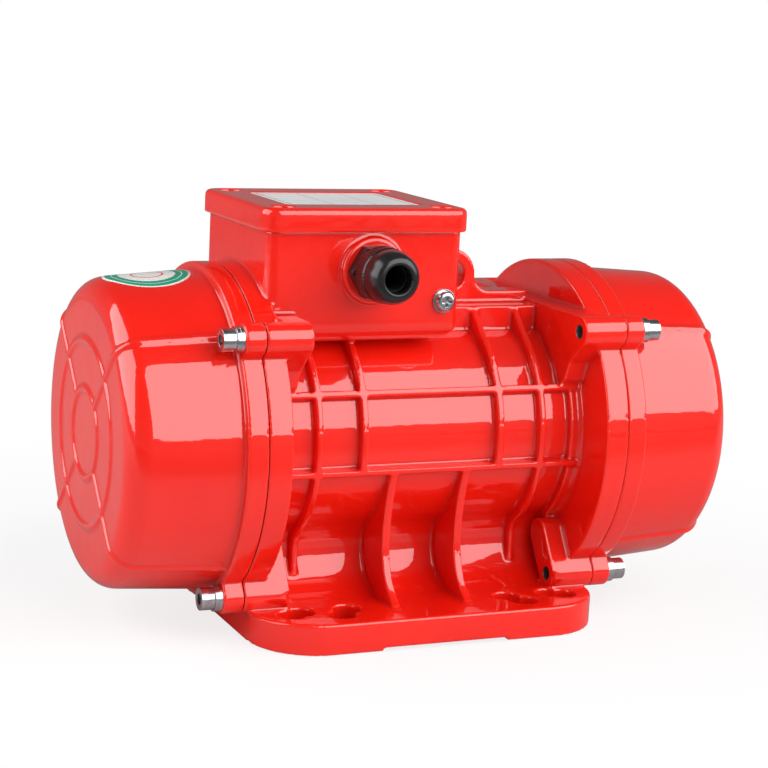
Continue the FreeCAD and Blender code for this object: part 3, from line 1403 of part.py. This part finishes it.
def check():
    """Stop if an object failed, if a cut removed nothing or if a sub-part is not sound."""
    for thing in doc.Objects:
        if "Invalid" in thing.State or "Error" in thing.State:
            raise RuntimeError(f"{thing.Name} failed: {thing.State}")
    for cut in cuts:
        if cut.Shape.Volume >= cut.BaseFeature.Shape.Volume - 1e-3:
            raise RuntimeError(f"{cut.Name} cuts nothing")
    for piece in sub_parts:
        if piece.Shape.isNull() or not piece.Shape.isValid() or not piece.Shape.Solids:
            raise RuntimeError(f"{piece.Label} is not a sound solid")


def write():
    """Write each sub-part to its own file."""
    os.makedirs("parts", exist_ok=True)
    for piece in sub_parts:
        piece.Shape.exportStep(f"parts/{piece.Label}.step")
        print(f"{piece.Label:28s} solids {len(piece.Shape.Solids):2d} "
              f"volume {piece.Shape.Volume:12.1f}")


fill_sheet()
motor_housing()
for end in SIGN:
    one_end(end)
shaft()
rotor_parts()
stator_parts()
terminal_box_lid()
terminal_board()
lid_gasket()
lid_screws()
nameplate()
cable_gland()
earth_terminal()
doc.recompute()
check()
write()
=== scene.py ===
"""Looks of the vibration motor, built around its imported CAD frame.  Lengths are in metres."""
import json
import math

import bpy
from mathutils import Matrix, Vector
from mathutils.bvhtree import BVHTree


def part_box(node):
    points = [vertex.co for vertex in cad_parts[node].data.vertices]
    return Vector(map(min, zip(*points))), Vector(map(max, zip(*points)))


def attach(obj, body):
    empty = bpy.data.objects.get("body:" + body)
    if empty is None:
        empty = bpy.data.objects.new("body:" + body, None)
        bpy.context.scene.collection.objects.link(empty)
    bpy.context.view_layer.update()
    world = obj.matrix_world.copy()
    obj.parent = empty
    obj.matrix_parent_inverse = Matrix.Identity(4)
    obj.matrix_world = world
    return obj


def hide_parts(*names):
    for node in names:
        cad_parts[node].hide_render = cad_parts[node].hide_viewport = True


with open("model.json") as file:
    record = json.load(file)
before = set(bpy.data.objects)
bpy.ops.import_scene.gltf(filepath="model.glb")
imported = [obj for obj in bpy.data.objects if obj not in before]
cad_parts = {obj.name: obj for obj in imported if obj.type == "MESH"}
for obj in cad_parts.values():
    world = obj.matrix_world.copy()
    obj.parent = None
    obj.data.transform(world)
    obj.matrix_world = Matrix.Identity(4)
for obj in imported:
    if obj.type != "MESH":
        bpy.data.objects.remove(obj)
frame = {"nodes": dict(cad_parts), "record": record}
bpy.context.scene.view_settings.view_transform = "Standard"
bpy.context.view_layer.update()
nodes = frame["nodes"]
MM = 0.001
AXIS_HEIGHT = 86.4 * MM                           # the shaft's axis over the underside of the foot


# ---- Node helpers -----------------------------------------------------------------------------


def add(tree, kind, inputs=None, **settings):
    """A shader node whose inputs are given as plain values or as sockets to link."""
    made = tree.nodes.new(kind)
    for name, value in settings.items():
        setattr(made, name, value)
    for key, value in (inputs or {}).items():
        if isinstance(value, bpy.types.NodeSocket):
            tree.links.new(value, made.inputs[key])
        else:
            made.inputs[key].default_value = value
    return made


def calc(tree, operation, *values):
    """One arithmetic step."""
    return add(tree, "ShaderNodeMath", dict(enumerate(values)), operation=operation).outputs[0]


def near(tree, value, centre, half_width):
    """1 where a value lies within half a width of a centre."""
    return calc(tree, "COMPARE", value, centre, half_width)


def distance(tree, along, across):
    """How far a place is from the origin of two coordinates."""
    return calc(tree, "SQRT", calc(tree, "ADD", calc(tree, "MULTIPLY", along, along),
                                   calc(tree, "MULTIPLY", across, across)))


def span(tree, value, low, high, out_low=0.0, out_high=1.0):
    """A value stretched from one range to another and held inside it."""
    made = add(tree, "ShaderNodeMapRange", {"Value": value, "From Min": low, "From Max": high,
                                            "To Min": out_low, "To Max": out_high})
    return made.outputs["Result"]


def mixed(tree, share, first, second):
    """Two colours mixed by a share."""
    first, second = (colour if isinstance(colour, bpy.types.NodeSocket) else (*colour, 1.0)
                     for colour in (first, second))
    made = add(tree, "ShaderNodeMix", {0: share, 6: first, 7: second}, data_type="RGBA")
    return made.outputs[2]


def noise(tree, place, scale, detail=2.0):
    """Noise with about this many features to a metre."""
    made = add(tree, "ShaderNodeTexNoise", {"Vector": place, "Scale": scale, "Detail": detail})
    return made.outputs["Fac"]


def new_material(name):
    """A principled material, its tree and the place in the object's own space."""
    material = bpy.data.materials.new(name)
    material.use_nodes = True
    tree = material.node_tree
    place = add(tree, "ShaderNodeTexCoord").outputs["Object"]
    return material, tree, tree.nodes["Principled BSDF"], place


# ---- Camera, light and floor ------------------------------------------------------------------

CAMERA_PLACE = (-0.39057, -0.87843, 0.28371)
CAMERA_YAW, CAMERA_PITCH, CAMERA_ROLL = 23.83, 10.59, 2.75
CAMERA_LENS = 97.51
MIDDLE = Vector((0.0, 0.0, 0.09))
SOFT_BOX_REACH = 1.35
FLOOR_REACH, FLOOR_DROP = 1.6, 0.0004


def make_camera():
    """A long lens, a little left of the front and above it."""
    data = bpy.data.cameras.new("camera")
    data.lens = CAMERA_LENS
    data.sensor_width = 36.0
    camera = bpy.data.objects.new("camera", data)
    turn = Matrix.Rotation(math.radians(-CAMERA_YAW), 4, "Z")
    tilt = Matrix.Rotation(math.radians(90 - CAMERA_PITCH), 4, "X")
    roll = Matrix.Rotation(math.radians(CAMERA_ROLL), 4, "Z")
    camera.matrix_world = Matrix.Translation(CAMERA_PLACE) @ turn @ tilt @ roll
    bpy.context.scene.collection.objects.link(camera)
    bpy.context.scene.camera = camera


def soft_box(name, bearing, rise, size, radiance, turn=0.0):
    """A soft box at a set reach from the motor; the bearing runs from the front to the right.

    It faces the motor, or is turned from there about the vertical."""
    data = bpy.data.lights.new(name, "AREA")
    data.shape = "RECTANGLE"
    data.size, data.size_y = size
    data.energy = radiance * math.pi * size[0] * size[1]
    light = bpy.data.objects.new(name, data)
    bearing, rise = math.radians(bearing), math.radians(rise)
    way = Vector((math.sin(bearing) * math.cos(rise), -math.cos(bearing) * math.cos(rise),
                  math.sin(rise)))
    light.rotation_mode = "QUATERNION"
    spin = Matrix.Rotation(math.radians(turn), 4, "Z").to_quaternion()
    light.rotation_quaternion = spin @ (-way).to_track_quat("-Z", "Y")
    light.location = MIDDLE + SOFT_BOX_REACH * way
    bpy.context.scene.collection.objects.link(light)


def make_light():
    """A wide soft box at the front right and a dimmer one at the left.

    The studio is white to the camera, and darker in reflections and as a light."""
    soft_box("key", 44.0, 32.0, (2.1, 1.3), 3.55, turn=-17.0)
    soft_box("fill", -100.0, 28.0, (1.5, 1.3), 3.3)
    world = bpy.data.worlds.new("studio")
    bpy.context.scene.world = world
    world.use_nodes = True
    tree = world.node_tree
    tree.nodes.clear()
    way = add(tree, "ShaderNodeSeparateXYZ",
              {0: add(tree, "ShaderNodeTexCoord").outputs["Generated"]}).outputs["Z"]
    rays = add(tree, "ShaderNodeLightPath").outputs
    level = 0.18
    for ray, seen in (("Is Glossy Ray", span(tree, way, 0.0, 0.6, 0.22, 0.09)),
                      ("Is Transmission Ray", 1.0), ("Is Camera Ray", 1.0)):
        level = add(tree, "ShaderNodeMix", {0: rays[ray], 2: level, 3: seen}).outputs[0]
    shade = add(tree, "ShaderNodeBackground", {"Color": level})
    add(tree, "ShaderNodeOutputWorld", {"Surface": shade.outputs[0]})


def make_floor():
    """A near-white table under the foot, which turns as white to the camera as the studio behind
    it. To reflections it is painted dark grey, darkest towards the front, as painted shade.
    """
    mesh = bpy.data.meshes.new("floor")
    corners = ((-1, -1), (1, -1), (1, 1), (-1, 1))
    mesh.from_pydata([(side * FLOOR_REACH, end * FLOOR_REACH, -FLOOR_DROP)
                      for side, end in corners], [], [(0, 1, 2, 3)])
    floor = bpy.data.objects.new("floor", mesh)
    bpy.context.scene.collection.objects.link(floor)
    material = bpy.data.materials.new("floor_white")
    material.use_nodes = True
    tree = material.node_tree
    tree.nodes.clear()
    place = add(tree, "ShaderNodeTexCoord").outputs["Object"]
    rays = add(tree, "ShaderNodeLightPath").outputs
    reach = add(tree, "ShaderNodeVectorMath", {0: place}, operation="LENGTH").outputs["Value"]
    ahead = add(tree, "ShaderNodeSeparateXYZ", {0: place}).outputs["Y"]
    # Painted shade: seen in reflections the table is dark grey, darker towards the front; to other
    # rays it is light grey paper.
    table_with_reflected_shade = mixed(tree, rays["Is Glossy Ray"], (0.82, 0.82, 0.82),
                 mixed(tree, span(tree, ahead, -0.36, -0.20), (0.12, 0.12, 0.12),
                       (0.36, 0.36, 0.36)))
    paper = add(tree, "ShaderNodeBsdfDiffuse", {"Color": table_with_reflected_shade})
    glow = add(tree, "ShaderNodeEmission", {"Color": (1.0, 1.0, 1.0, 1.0), "Strength": 1.0})
    whitened = span(tree, reach, 0.2, 0.4, 0.8, 1.0)
    share = calc(tree, "MULTIPLY", rays["Is Camera Ray"], whitened)
    mix = add(tree, "ShaderNodeMixShader", {0: share, 1: paper.outputs[0], 2: glow.outputs[0]})
    add(tree, "ShaderNodeOutputMaterial", {"Surface": mix.outputs[0]})
    floor.data.materials.append(material)


# ---- Materials --------------------------------------------------------------------------------

JOINT_X, JOINT_HALF_WIDTH = 86.9 * MM, 0.14 * MM  # where the end covers meet the housing
JOINT_INNER_RADIUS = 74.8 * MM
BOLT_CIRCLE_RADIUS, HOLE_SHADE_RADIUS = 80.0 * MM, 3.3 * MM
HOLE_SHADE_X, HOLE_SHADE_HALF_LENGTH = 75.0 * MM, 11.0 * MM   # the stretch of each bolt hole whose bare bore is painted near black as shade
BOLT_HOLES = [(BOLT_CIRCLE_RADIUS * math.cos(math.radians(turn)),
               AXIS_HEIGHT + BOLT_CIRCLE_RADIUS * math.sin(math.radians(turn)))
              for turn in (40.0, -56.5)]


def red_paint():
    """Thick glossy enamel that flows in slight waves; it is darker in corners, where it pools and
    where shade is painted, and lighter on edges, where it thins and a highlight is painted.
    """
    material, tree, shader, place = new_material("red_enamel")
    cloud = span(tree, noise(tree, place, 14.0), 0.35, 0.65)
    colour = mixed(tree, cloud, (0.80, 0.011, 0.003), (0.75, 0.008, 0.002))
    bend = add(tree, "ShaderNodeNewGeometry").outputs["Pointiness"]
    # Darker in concave corners: deeper pooled paint, with painted shade.
    colour = mixed(tree, span(tree, bend, 0.50, 0.44), colour, (0.50, 0.004, 0.003))
    # Lighter, brighter red on convex edges: thinner paint, with a painted highlight.
    colour = mixed(tree, span(tree, bend, 0.52, 0.60, 0.0, 0.6), colour, (0.93, 0.05, 0.025))
    x, y, z = add(tree, "ShaderNodeSeparateXYZ", {0: place}).outputs
    out = calc(tree, "ABSOLUTE", x)
    side = calc(tree, "ABSOLUTE", y)
    from_axis = distance(tree, y, calc(tree, "SUBTRACT", z, AXIS_HEIGHT))
    # Painted shade: a thin dark red line in the joint between the end covers and the housing.
    joint_shade = calc(tree, "MULTIPLY", near(tree, out, JOINT_X, JOINT_HALF_WIDTH),
               calc(tree, "GREATER_THAN", from_axis, JOINT_INNER_RADIUS))
    colour = mixed(tree, joint_shade, colour, (0.30, 0.006, 0.004))
    # Painted shade: the bores of the cover bolt holes, bare of paint, are painted near black, as
    # the shade inside them.
    for hole_y, hole_z in BOLT_HOLES:
        off = distance(tree, calc(tree, "SUBTRACT", side, hole_y),
                       calc(tree, "SUBTRACT", z, hole_z))
        hole_shade = calc(tree, "MULTIPLY", calc(tree, "LESS_THAN", off, HOLE_SHADE_RADIUS),
                    near(tree, out, HOLE_SHADE_X, HOLE_SHADE_HALF_LENGTH))
        colour = mixed(tree, hole_shade, colour, (0.07, 0.062, 0.062))
    tree.links.new(colour, shader.inputs["Base Color"])
    tree.links.new(span(tree, noise(tree, place, 60.0), 0.3, 0.7, 0.34, 0.44),
                   shader.inputs["Roughness"])
    shader.inputs["Specular IOR Level"].default_value = 0.1
    shader.inputs["Coat Weight"].default_value = 1.0
    shader.inputs["Coat Roughness"].default_value = 0.035
    shader.inputs["Coat IOR"].default_value = 1.68
    waves = calc(tree, "MULTIPLY_ADD", noise(tree, place, 520.0), 0.12,
                 noise(tree, place, 130.0, 1.0))
    bump = add(tree, "ShaderNodeBump", {"Strength": 1.0, "Distance": 0.00008, "Height": waves})
    for socket in ("Normal", "Coat Normal"):
        tree.links.new(bump.outputs["Normal"], shader.inputs[socket])
    return material


def surface(name, light, dark, rough, metallic=0.0, patches=60.0, grain=900.0,
            stretch=(1.0, 1.0, 1.0), relief=0.00002, worn=None, edge=0.00025, bands=None,
            coat=0.0):
    """Two-tone surface with a grain in its gloss and relief, softened and rubbed at its edges."""
    material, tree, shader, place = new_material(name)
    drawn = add(tree, "ShaderNodeMapping", {"Vector": place, "Scale": stretch}).outputs[0]
    fine = noise(tree, drawn, grain, 4.0)
    colour = mixed(tree, span(tree, noise(tree, place, patches), 0.35, 0.65), light, dark)
    height = fine
    if bands:
        pitch, strength, direction = bands
        stripe = add(tree, "ShaderNodeTexWave", {"Vector": place, "Scale": 0.31 / pitch,
                                                 "Distortion": 0.3},
                     bands_direction=direction).outputs["Fac"]
        colour = mixed(tree, calc(tree, "MULTIPLY", stripe, 0.6), colour, dark)
        height = calc(tree, "MULTIPLY_ADD", stripe, strength, fine)
    soft = add(tree, "ShaderNodeBevel", {"Radius": edge}, samples=4).outputs["Normal"]
    flat = add(tree, "ShaderNodeNewGeometry").outputs["Normal"]
    turned = add(tree, "ShaderNodeVectorMath", {0: soft, 1: flat},
                 operation="DOT_PRODUCT").outputs["Value"]
    rub = calc(tree, "MULTIPLY", span(tree, turned, 0.995, 0.93),
               span(tree, noise(tree, place, 700.0), 0.4, 0.6, 0.35, 1.0))
    colour = mixed(tree, rub, colour, worn or light)
    tree.links.new(colour, shader.inputs["Base Color"])
    tree.links.new(span(tree, fine, 0.3, 0.7, *rough), shader.inputs["Roughness"])
    bump = add(tree, "ShaderNodeBump", {"Strength": 1.0, "Distance": relief, "Height": height,
                                        "Normal": soft})
    tree.links.new(bump.outputs["Normal"], shader.inputs["Normal"])
    shader.inputs["Metallic"].default_value = metallic
    if coat:
        shader.inputs["Coat Weight"].default_value = coat
        shader.inputs["Coat Roughness"].default_value = 0.12
    return material


PLATE_MARGIN, PLATE_ROW, PLATE_LINE = 2.5 * MM, 4.0 * MM, 0.22 * MM
PLATE_COLUMNS = (-0.3, 0.35)                      # as shares of half the plate's length


def plate_material():
    """Silver printed plate, brushed along its length, with an empty ruled form on it."""
    low, high = (Vector(corner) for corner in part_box("nameplate"))
    centre, half = (low + high) / 2, (high - low) / 2
    material, tree, shader, place = new_material("printed_plate")
    x, y = add(tree, "ShaderNodeSeparateXYZ", {0: place}).outputs[:2]
    out_x = calc(tree, "ABSOLUTE", calc(tree, "SUBTRACT", x, centre.x))
    out_y = calc(tree, "ABSOLUTE", calc(tree, "SUBTRACT", y, centre.y))
    form_x, form_y, border = half.x - PLATE_MARGIN, half.y - PLATE_MARGIN, 1.6 * PLATE_LINE
    inside = calc(tree, "MULTIPLY", calc(tree, "LESS_THAN", out_x, form_x),
                  calc(tree, "LESS_THAN", out_y, form_y))
    row = calc(tree, "PINGPONG", calc(tree, "SUBTRACT", y, centre.y - form_y), PLATE_ROW)
    ruled = calc(tree, "MULTIPLY", inside, calc(tree, "LESS_THAN", row, PLATE_LINE))
    bordered = calc(tree, "MULTIPLY", calc(tree, "LESS_THAN", out_x, form_x + border),
                    calc(tree, "LESS_THAN", out_y, form_y + border))
    marks = [near(tree, x, centre.x + share * half.x, PLATE_LINE) for share in PLATE_COLUMNS]
    marks += [near(tree, out_x, form_x, border), near(tree, out_y, form_y, border)]
    for mark in marks:
        ruled = calc(tree, "MAXIMUM", ruled, calc(tree, "MULTIPLY", bordered, mark))
    drawn = add(tree, "ShaderNodeMapping", {"Vector": place, "Scale": (0.04, 1.0, 1.0)})
    brushed = noise(tree, drawn.outputs[0], 3000.0, 3.0)
    colour = mixed(tree, span(tree, noise(tree, place, 40.0), 0.35, 0.65),
                   (0.86, 0.86, 0.86), (0.79, 0.795, 0.80))
    colour = mixed(tree, calc(tree, "MULTIPLY", ruled, 0.8), colour, (0.10, 0.10, 0.11))
    tree.links.new(colour, shader.inputs["Base Color"])
    tree.links.new(span(tree, brushed, 0.3, 0.7, 0.28, 0.42), shader.inputs["Roughness"])
    shader.inputs["Metallic"].default_value = 0.12
    bump = add(tree, "ShaderNodeBump", {"Strength": 1.0, "Distance": 0.00001,
                                        "Height": brushed})
    tree.links.new(bump.outputs["Normal"], shader.inputs["Normal"])
    return material


STICKER_X, STICKER_RADIUS = -120.0 * MM, 19.6 * MM
STICKER_THICKNESS, STICKER_SINK = 0.16 * MM, 0.3 * MM
GREEN_RING, GREEN_HALF_WIDTH, PALE_HALF_WIDTH = 15.6 * MM, 2.9 * MM, 0.2 * MM
RED_RING, RED_HALF_WIDTH = 7.0 * MM, 0.5 * MM
COVER_RADIUS, CAST_FROM_RADIUS = 71.0 * MM, 90.0 * MM


def sticker_material():
    """Glossy white paper with a plain green and a thin red ring, and nothing written on it."""
    material, tree, shader, place = new_material("printed_foil")
    x, y = add(tree, "ShaderNodeSeparateXYZ", {0: place}).outputs[:2]
    away = distance(tree, calc(tree, "SUBTRACT", x, STICKER_X), y)
    white = mixed(tree, span(tree, noise(tree, place, 300.0), 0.3, 0.7),
                  (0.80, 0.81, 0.80), (0.74, 0.75, 0.74))
    ring = near(tree, away, GREEN_RING, GREEN_HALF_WIDTH)
    green = mixed(tree, span(tree, noise(tree, place, 500.0), 0.3, 0.7),
                  (0.010, 0.33, 0.19), (0.014, 0.27, 0.16))
    colour = mixed(tree, ring, white, green)
    pale_line = near(tree, away, GREEN_RING, PALE_HALF_WIDTH)
    colour = mixed(tree, pale_line, colour, (0.75, 0.78, 0.76))
    colour = mixed(tree, near(tree, away, RED_RING, RED_HALF_WIDTH), colour, (0.65, 0.12, 0.10))
    tree.links.new(colour, shader.inputs["Base Color"])
    tree.links.new(span(tree, noise(tree, place, 900.0), 0.3, 0.7, 0.2, 0.32),
                   shader.inputs["Roughness"])
    bump = add(tree, "ShaderNodeBump", {"Strength": 1.0, "Distance": 0.00003,
                                        "Height": noise(tree, place, 160.0)})
    tree.links.new(bump.outputs["Normal"], shader.inputs["Normal"])
    return material


def dress(slot, material):
    """Give a material to every CAD node of one slot."""
    for row in frame["record"]["subparts"]:
        if row["material_slot"] == slot:
            data = nodes[row["node"]].data
            data.materials.clear()
            data.materials.append(material)


def make_materials():
    """Every slot of the record with its own procedural finish."""
    made = {
        "red_paint": red_paint(),
        "plate_aluminium": plate_material(),
        "zinc_steel": surface("bright_zinc", (0.70, 0.71, 0.74), (0.52, 0.54, 0.58),
                              (0.17, 0.28), 1.0, patches=260.0, grain=800.0, relief=0.000003,
                              worn=(0.86, 0.87, 0.88)),
        "black_nylon": surface("moulded_nylon", (0.013, 0.013, 0.014), (0.008, 0.008, 0.009),
                               (0.19, 0.27), patches=150.0, grain=900.0, relief=0.000003,
                               worn=(0.035, 0.035, 0.037), edge=0.0004),
        "rubber": surface("nitrile_rubber", (0.020, 0.020, 0.021), (0.012, 0.012, 0.013),
                          (0.6, 0.8), grain=1500.0, relief=0.00002, worn=(0.05, 0.05, 0.05)),
        "cast_iron": surface("machined_iron", (0.24, 0.24, 0.25), (0.15, 0.15, 0.16),
                             (0.35, 0.55), 1.0, patches=120.0, grain=1300.0, relief=0.00003,
                             worn=(0.45, 0.45, 0.46)),
        "ground_steel": surface("ground_steel", (0.62, 0.63, 0.65), (0.50, 0.51, 0.53),
                                (0.14, 0.30), 1.0, grain=5000.0, stretch=(1.0, 0.06, 0.06),
                                relief=0.000006, worn=(0.78, 0.79, 0.80)),
        "bearing_steel": surface("bearing_steel", (0.78, 0.79, 0.80), (0.68, 0.69, 0.71),
                                 (0.06, 0.14), 1.0, grain=3000.0, relief=0.000003,
                                 worn=(0.9, 0.9, 0.91)),
        "cage_brass": surface("turned_brass", (0.72, 0.50, 0.20), (0.58, 0.38, 0.14),
                              (0.20, 0.36), 1.0, grain=2600.0, stretch=(1.0, 0.1, 0.1),
                              relief=0.000008, worn=(0.86, 0.66, 0.34)),
        "core_steel": surface("laminated_steel", (0.34, 0.35, 0.37), (0.16, 0.165, 0.18),
                              (0.34, 0.52), 1.0, grain=1200.0, relief=0.00004,
                              bands=(0.0005, 1.6, "X"), worn=(0.5, 0.5, 0.52)),
        "cast_aluminium": surface("cast_aluminium", (0.62, 0.63, 0.65), (0.46, 0.47, 0.49),
                                  (0.38, 0.58), 1.0, patches=200.0, grain=1400.0,
                                  relief=0.00005, worn=(0.78, 0.79, 0.80)),
        "winding": surface("varnished_winding", (0.55, 0.20, 0.07), (0.26, 0.08, 0.03),
                           (0.25, 0.45), 0.6, grain=900.0, relief=0.0002,
                           bands=(0.0011, 2.0, "X"), worn=(0.7, 0.32, 0.14), coat=0.6),
        "moulded_board": surface("moulded_board", (0.055, 0.034, 0.022), (0.035, 0.022, 0.015),
                                 (0.42, 0.6), grain=1100.0, relief=0.00002,
                                 worn=(0.12, 0.08, 0.06)),
    }
    for slot, material in made.items():
        dress(slot, material)
    return made


# ---- Pieces -----------------------------------------------------------------------------------

CAST_VOXEL, CAST_ROUNDS = 0.7 * MM, 4
MOULDED_VOXEL, MOULDED_ROUNDS = 0.25 * MM, 3


def softened(node, name, material, voxel, rounds, body="housing"):
    """A copy of a CAD node with its edges and inner corners softened by moulding or paint."""
    piece = bpy.data.objects.new(name, nodes[node].data.copy())
    bpy.context.scene.collection.objects.link(piece)
    remesh = piece.modifiers.new("remesh", "REMESH")
    remesh.mode = "VOXEL"
    remesh.voxel_size = voxel
    remesh.use_smooth_shade = True
    smooth = piece.modifiers.new("smooth", "SMOOTH")
    smooth.factor = 0.5
    smooth.iterations = rounds
    depsgraph = bpy.context.evaluated_depsgraph_get()
    made = bpy.data.meshes.new_from_object(piece.evaluated_get(depsgraph))
    piece.modifiers.clear()
    piece.data = made
    made.materials.clear()
    made.materials.append(material)
    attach(piece, body)
    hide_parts(node)
    return piece


def sticker(cover, material):
    """A thin round label that lies on top of the left end cover."""
    mesh = cover.data
    tree = BVHTree.FromPolygons([vertex.co for vertex in mesh.vertices],
                                [list(face.vertices) for face in mesh.polygons])
    rings, turns = 14, 72
    spots = [(0.0, 0.0)] + [(STICKER_RADIUS * ring / rings * math.cos(math.tau * step / turns),
                             STICKER_RADIUS * ring / rings * math.sin(math.tau * step / turns))
                            for ring in range(1, rings + 1) for step in range(turns)]
    top, base = [], []
    for along, across in spots:
        turn = across / COVER_RADIUS
        way = Vector((0.0, math.sin(turn), math.cos(turn)))
        start = Vector((STICKER_X + along, 0.0, AXIS_HEIGHT)) + CAST_FROM_RADIUS * way
        hit = tree.ray_cast(start, -way)[0]
        top.append(hit + STICKER_THICKNESS * way)
        base.append(hit - STICKER_SINK * way)
    count = len(spots)
    faces = [(0, 1 + step, 1 + (step + 1) % turns) for step in range(turns)]
    for ring in range(rings - 1):
        inner, outer = 1 + ring * turns, 1 + (ring + 1) * turns
        faces += [(inner + step, outer + step, outer + (step + 1) % turns,
                   inner + (step + 1) % turns) for step in range(turns)]
    under = [tuple(count + corner for corner in reversed(face)) for face in faces]
    edge = 1 + (rings - 1) * turns
    rim = [(edge + step, count + edge + step, count + edge + (step + 1) % turns,
            edge + (step + 1) % turns) for step in range(turns)]
    made = bpy.data.meshes.new("cover_label")
    made.from_pydata(top + base, [], faces + under + rim)
    for face in made.polygons:
        face.use_smooth = face.index < 2 * len(faces)
    made.materials.append(material)
    piece = bpy.data.objects.new("cover_label", made)
    bpy.context.scene.collection.objects.link(piece)
    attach(piece, "housing")


def gland_nut(material):
    """The nut of the cable gland: fine ribs round its grip, then a full dome to its mouth."""
    low, high = (Vector(corner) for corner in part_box("gland_nut"))
    middle, back, nose = (low + high) / 2, high.y, high.y - low.y
    grip, dome, mouth, bore, thread = (value * MM for value in (12.4, 12.0, 6.9, 5.8, 10.0))
    ribs, parts, rib_depth = 46, 6, 0.28 * MM
    line = [(0.0, thread, 0.0), (0.0, grip - 0.5 * MM, 0.0), (0.3 * MM, grip - 0.1 * MM, 0.4)]
    line += [(0.8 * MM + step * MM, grip, 1.0) for step in range(8)]
    line += [(8.5 * MM, grip - 0.1 * MM, 0.4), (8.9 * MM, dome - 0.3 * MM, 0.0),
             (9.5 * MM, dome - 0.3 * MM, 0.0)]
    start, steps, fullness = 9.9 * MM, 22, 0.85
    for step in range(steps + 1):
        turn = math.pi / 2 * step / steps
        line.append((start + (nose - start) * math.sin(turn) ** fullness,
                     mouth + (dome - mouth) * math.cos(turn) ** fullness, 0.0))
    line += [(nose - 0.15 * MM, mouth - 0.35 * MM, 0.0), (nose - 0.7 * MM, mouth - 0.6 * MM, 0.0),
             (nose - 5.0 * MM, bore, 0.0), (10.0 * MM, thread, 0.0)]
    points, faces, turns, count = [], [], ribs * parts, len(line)
    for turn in range(turns):
        about = math.tau * turn / turns
        groove = rib_depth * (0.5 - 0.5 * math.cos(math.tau * turn / parts))
        for reach, radius, ribbed in line:
            away = radius - groove * ribbed
            points.append((middle.x + away * math.cos(about), back - reach,
                           middle.z + away * math.sin(about)))
        following = (turn + 1) % turns
        faces += [(turn * count + step, following * count + step,
                   following * count + (step + 1) % count, turn * count + (step + 1) % count)
                  for step in range(count)]
    made = bpy.data.meshes.new("gland_nut_ribbed")
    made.from_pydata(points, [], faces)
    made.update()
    for face in made.polygons:
        face.use_smooth = True
    made.materials.append(material)
    piece = bpy.data.objects.new("gland_nut_ribbed", made)
    bpy.context.scene.collection.objects.link(piece)
    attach(piece, "housing")
    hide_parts("gland_nut")


make_camera()
make_light()
make_floor()
finishes = make_materials()
castings = {node: softened(node, f"{node}_cast", finishes["red_paint"],
                           CAST_VOXEL, CAST_ROUNDS)
            for node in ("motor_housing", "left_end_cover", "right_end_cover",
                         "terminal_box_lid")}
softened("gland_body", "gland_body_moulded", finishes["black_nylon"],
         MOULDED_VOXEL, MOULDED_ROUNDS)
gland_nut(finishes["black_nylon"])
sticker(castings["left_end_cover"], sticker_material())
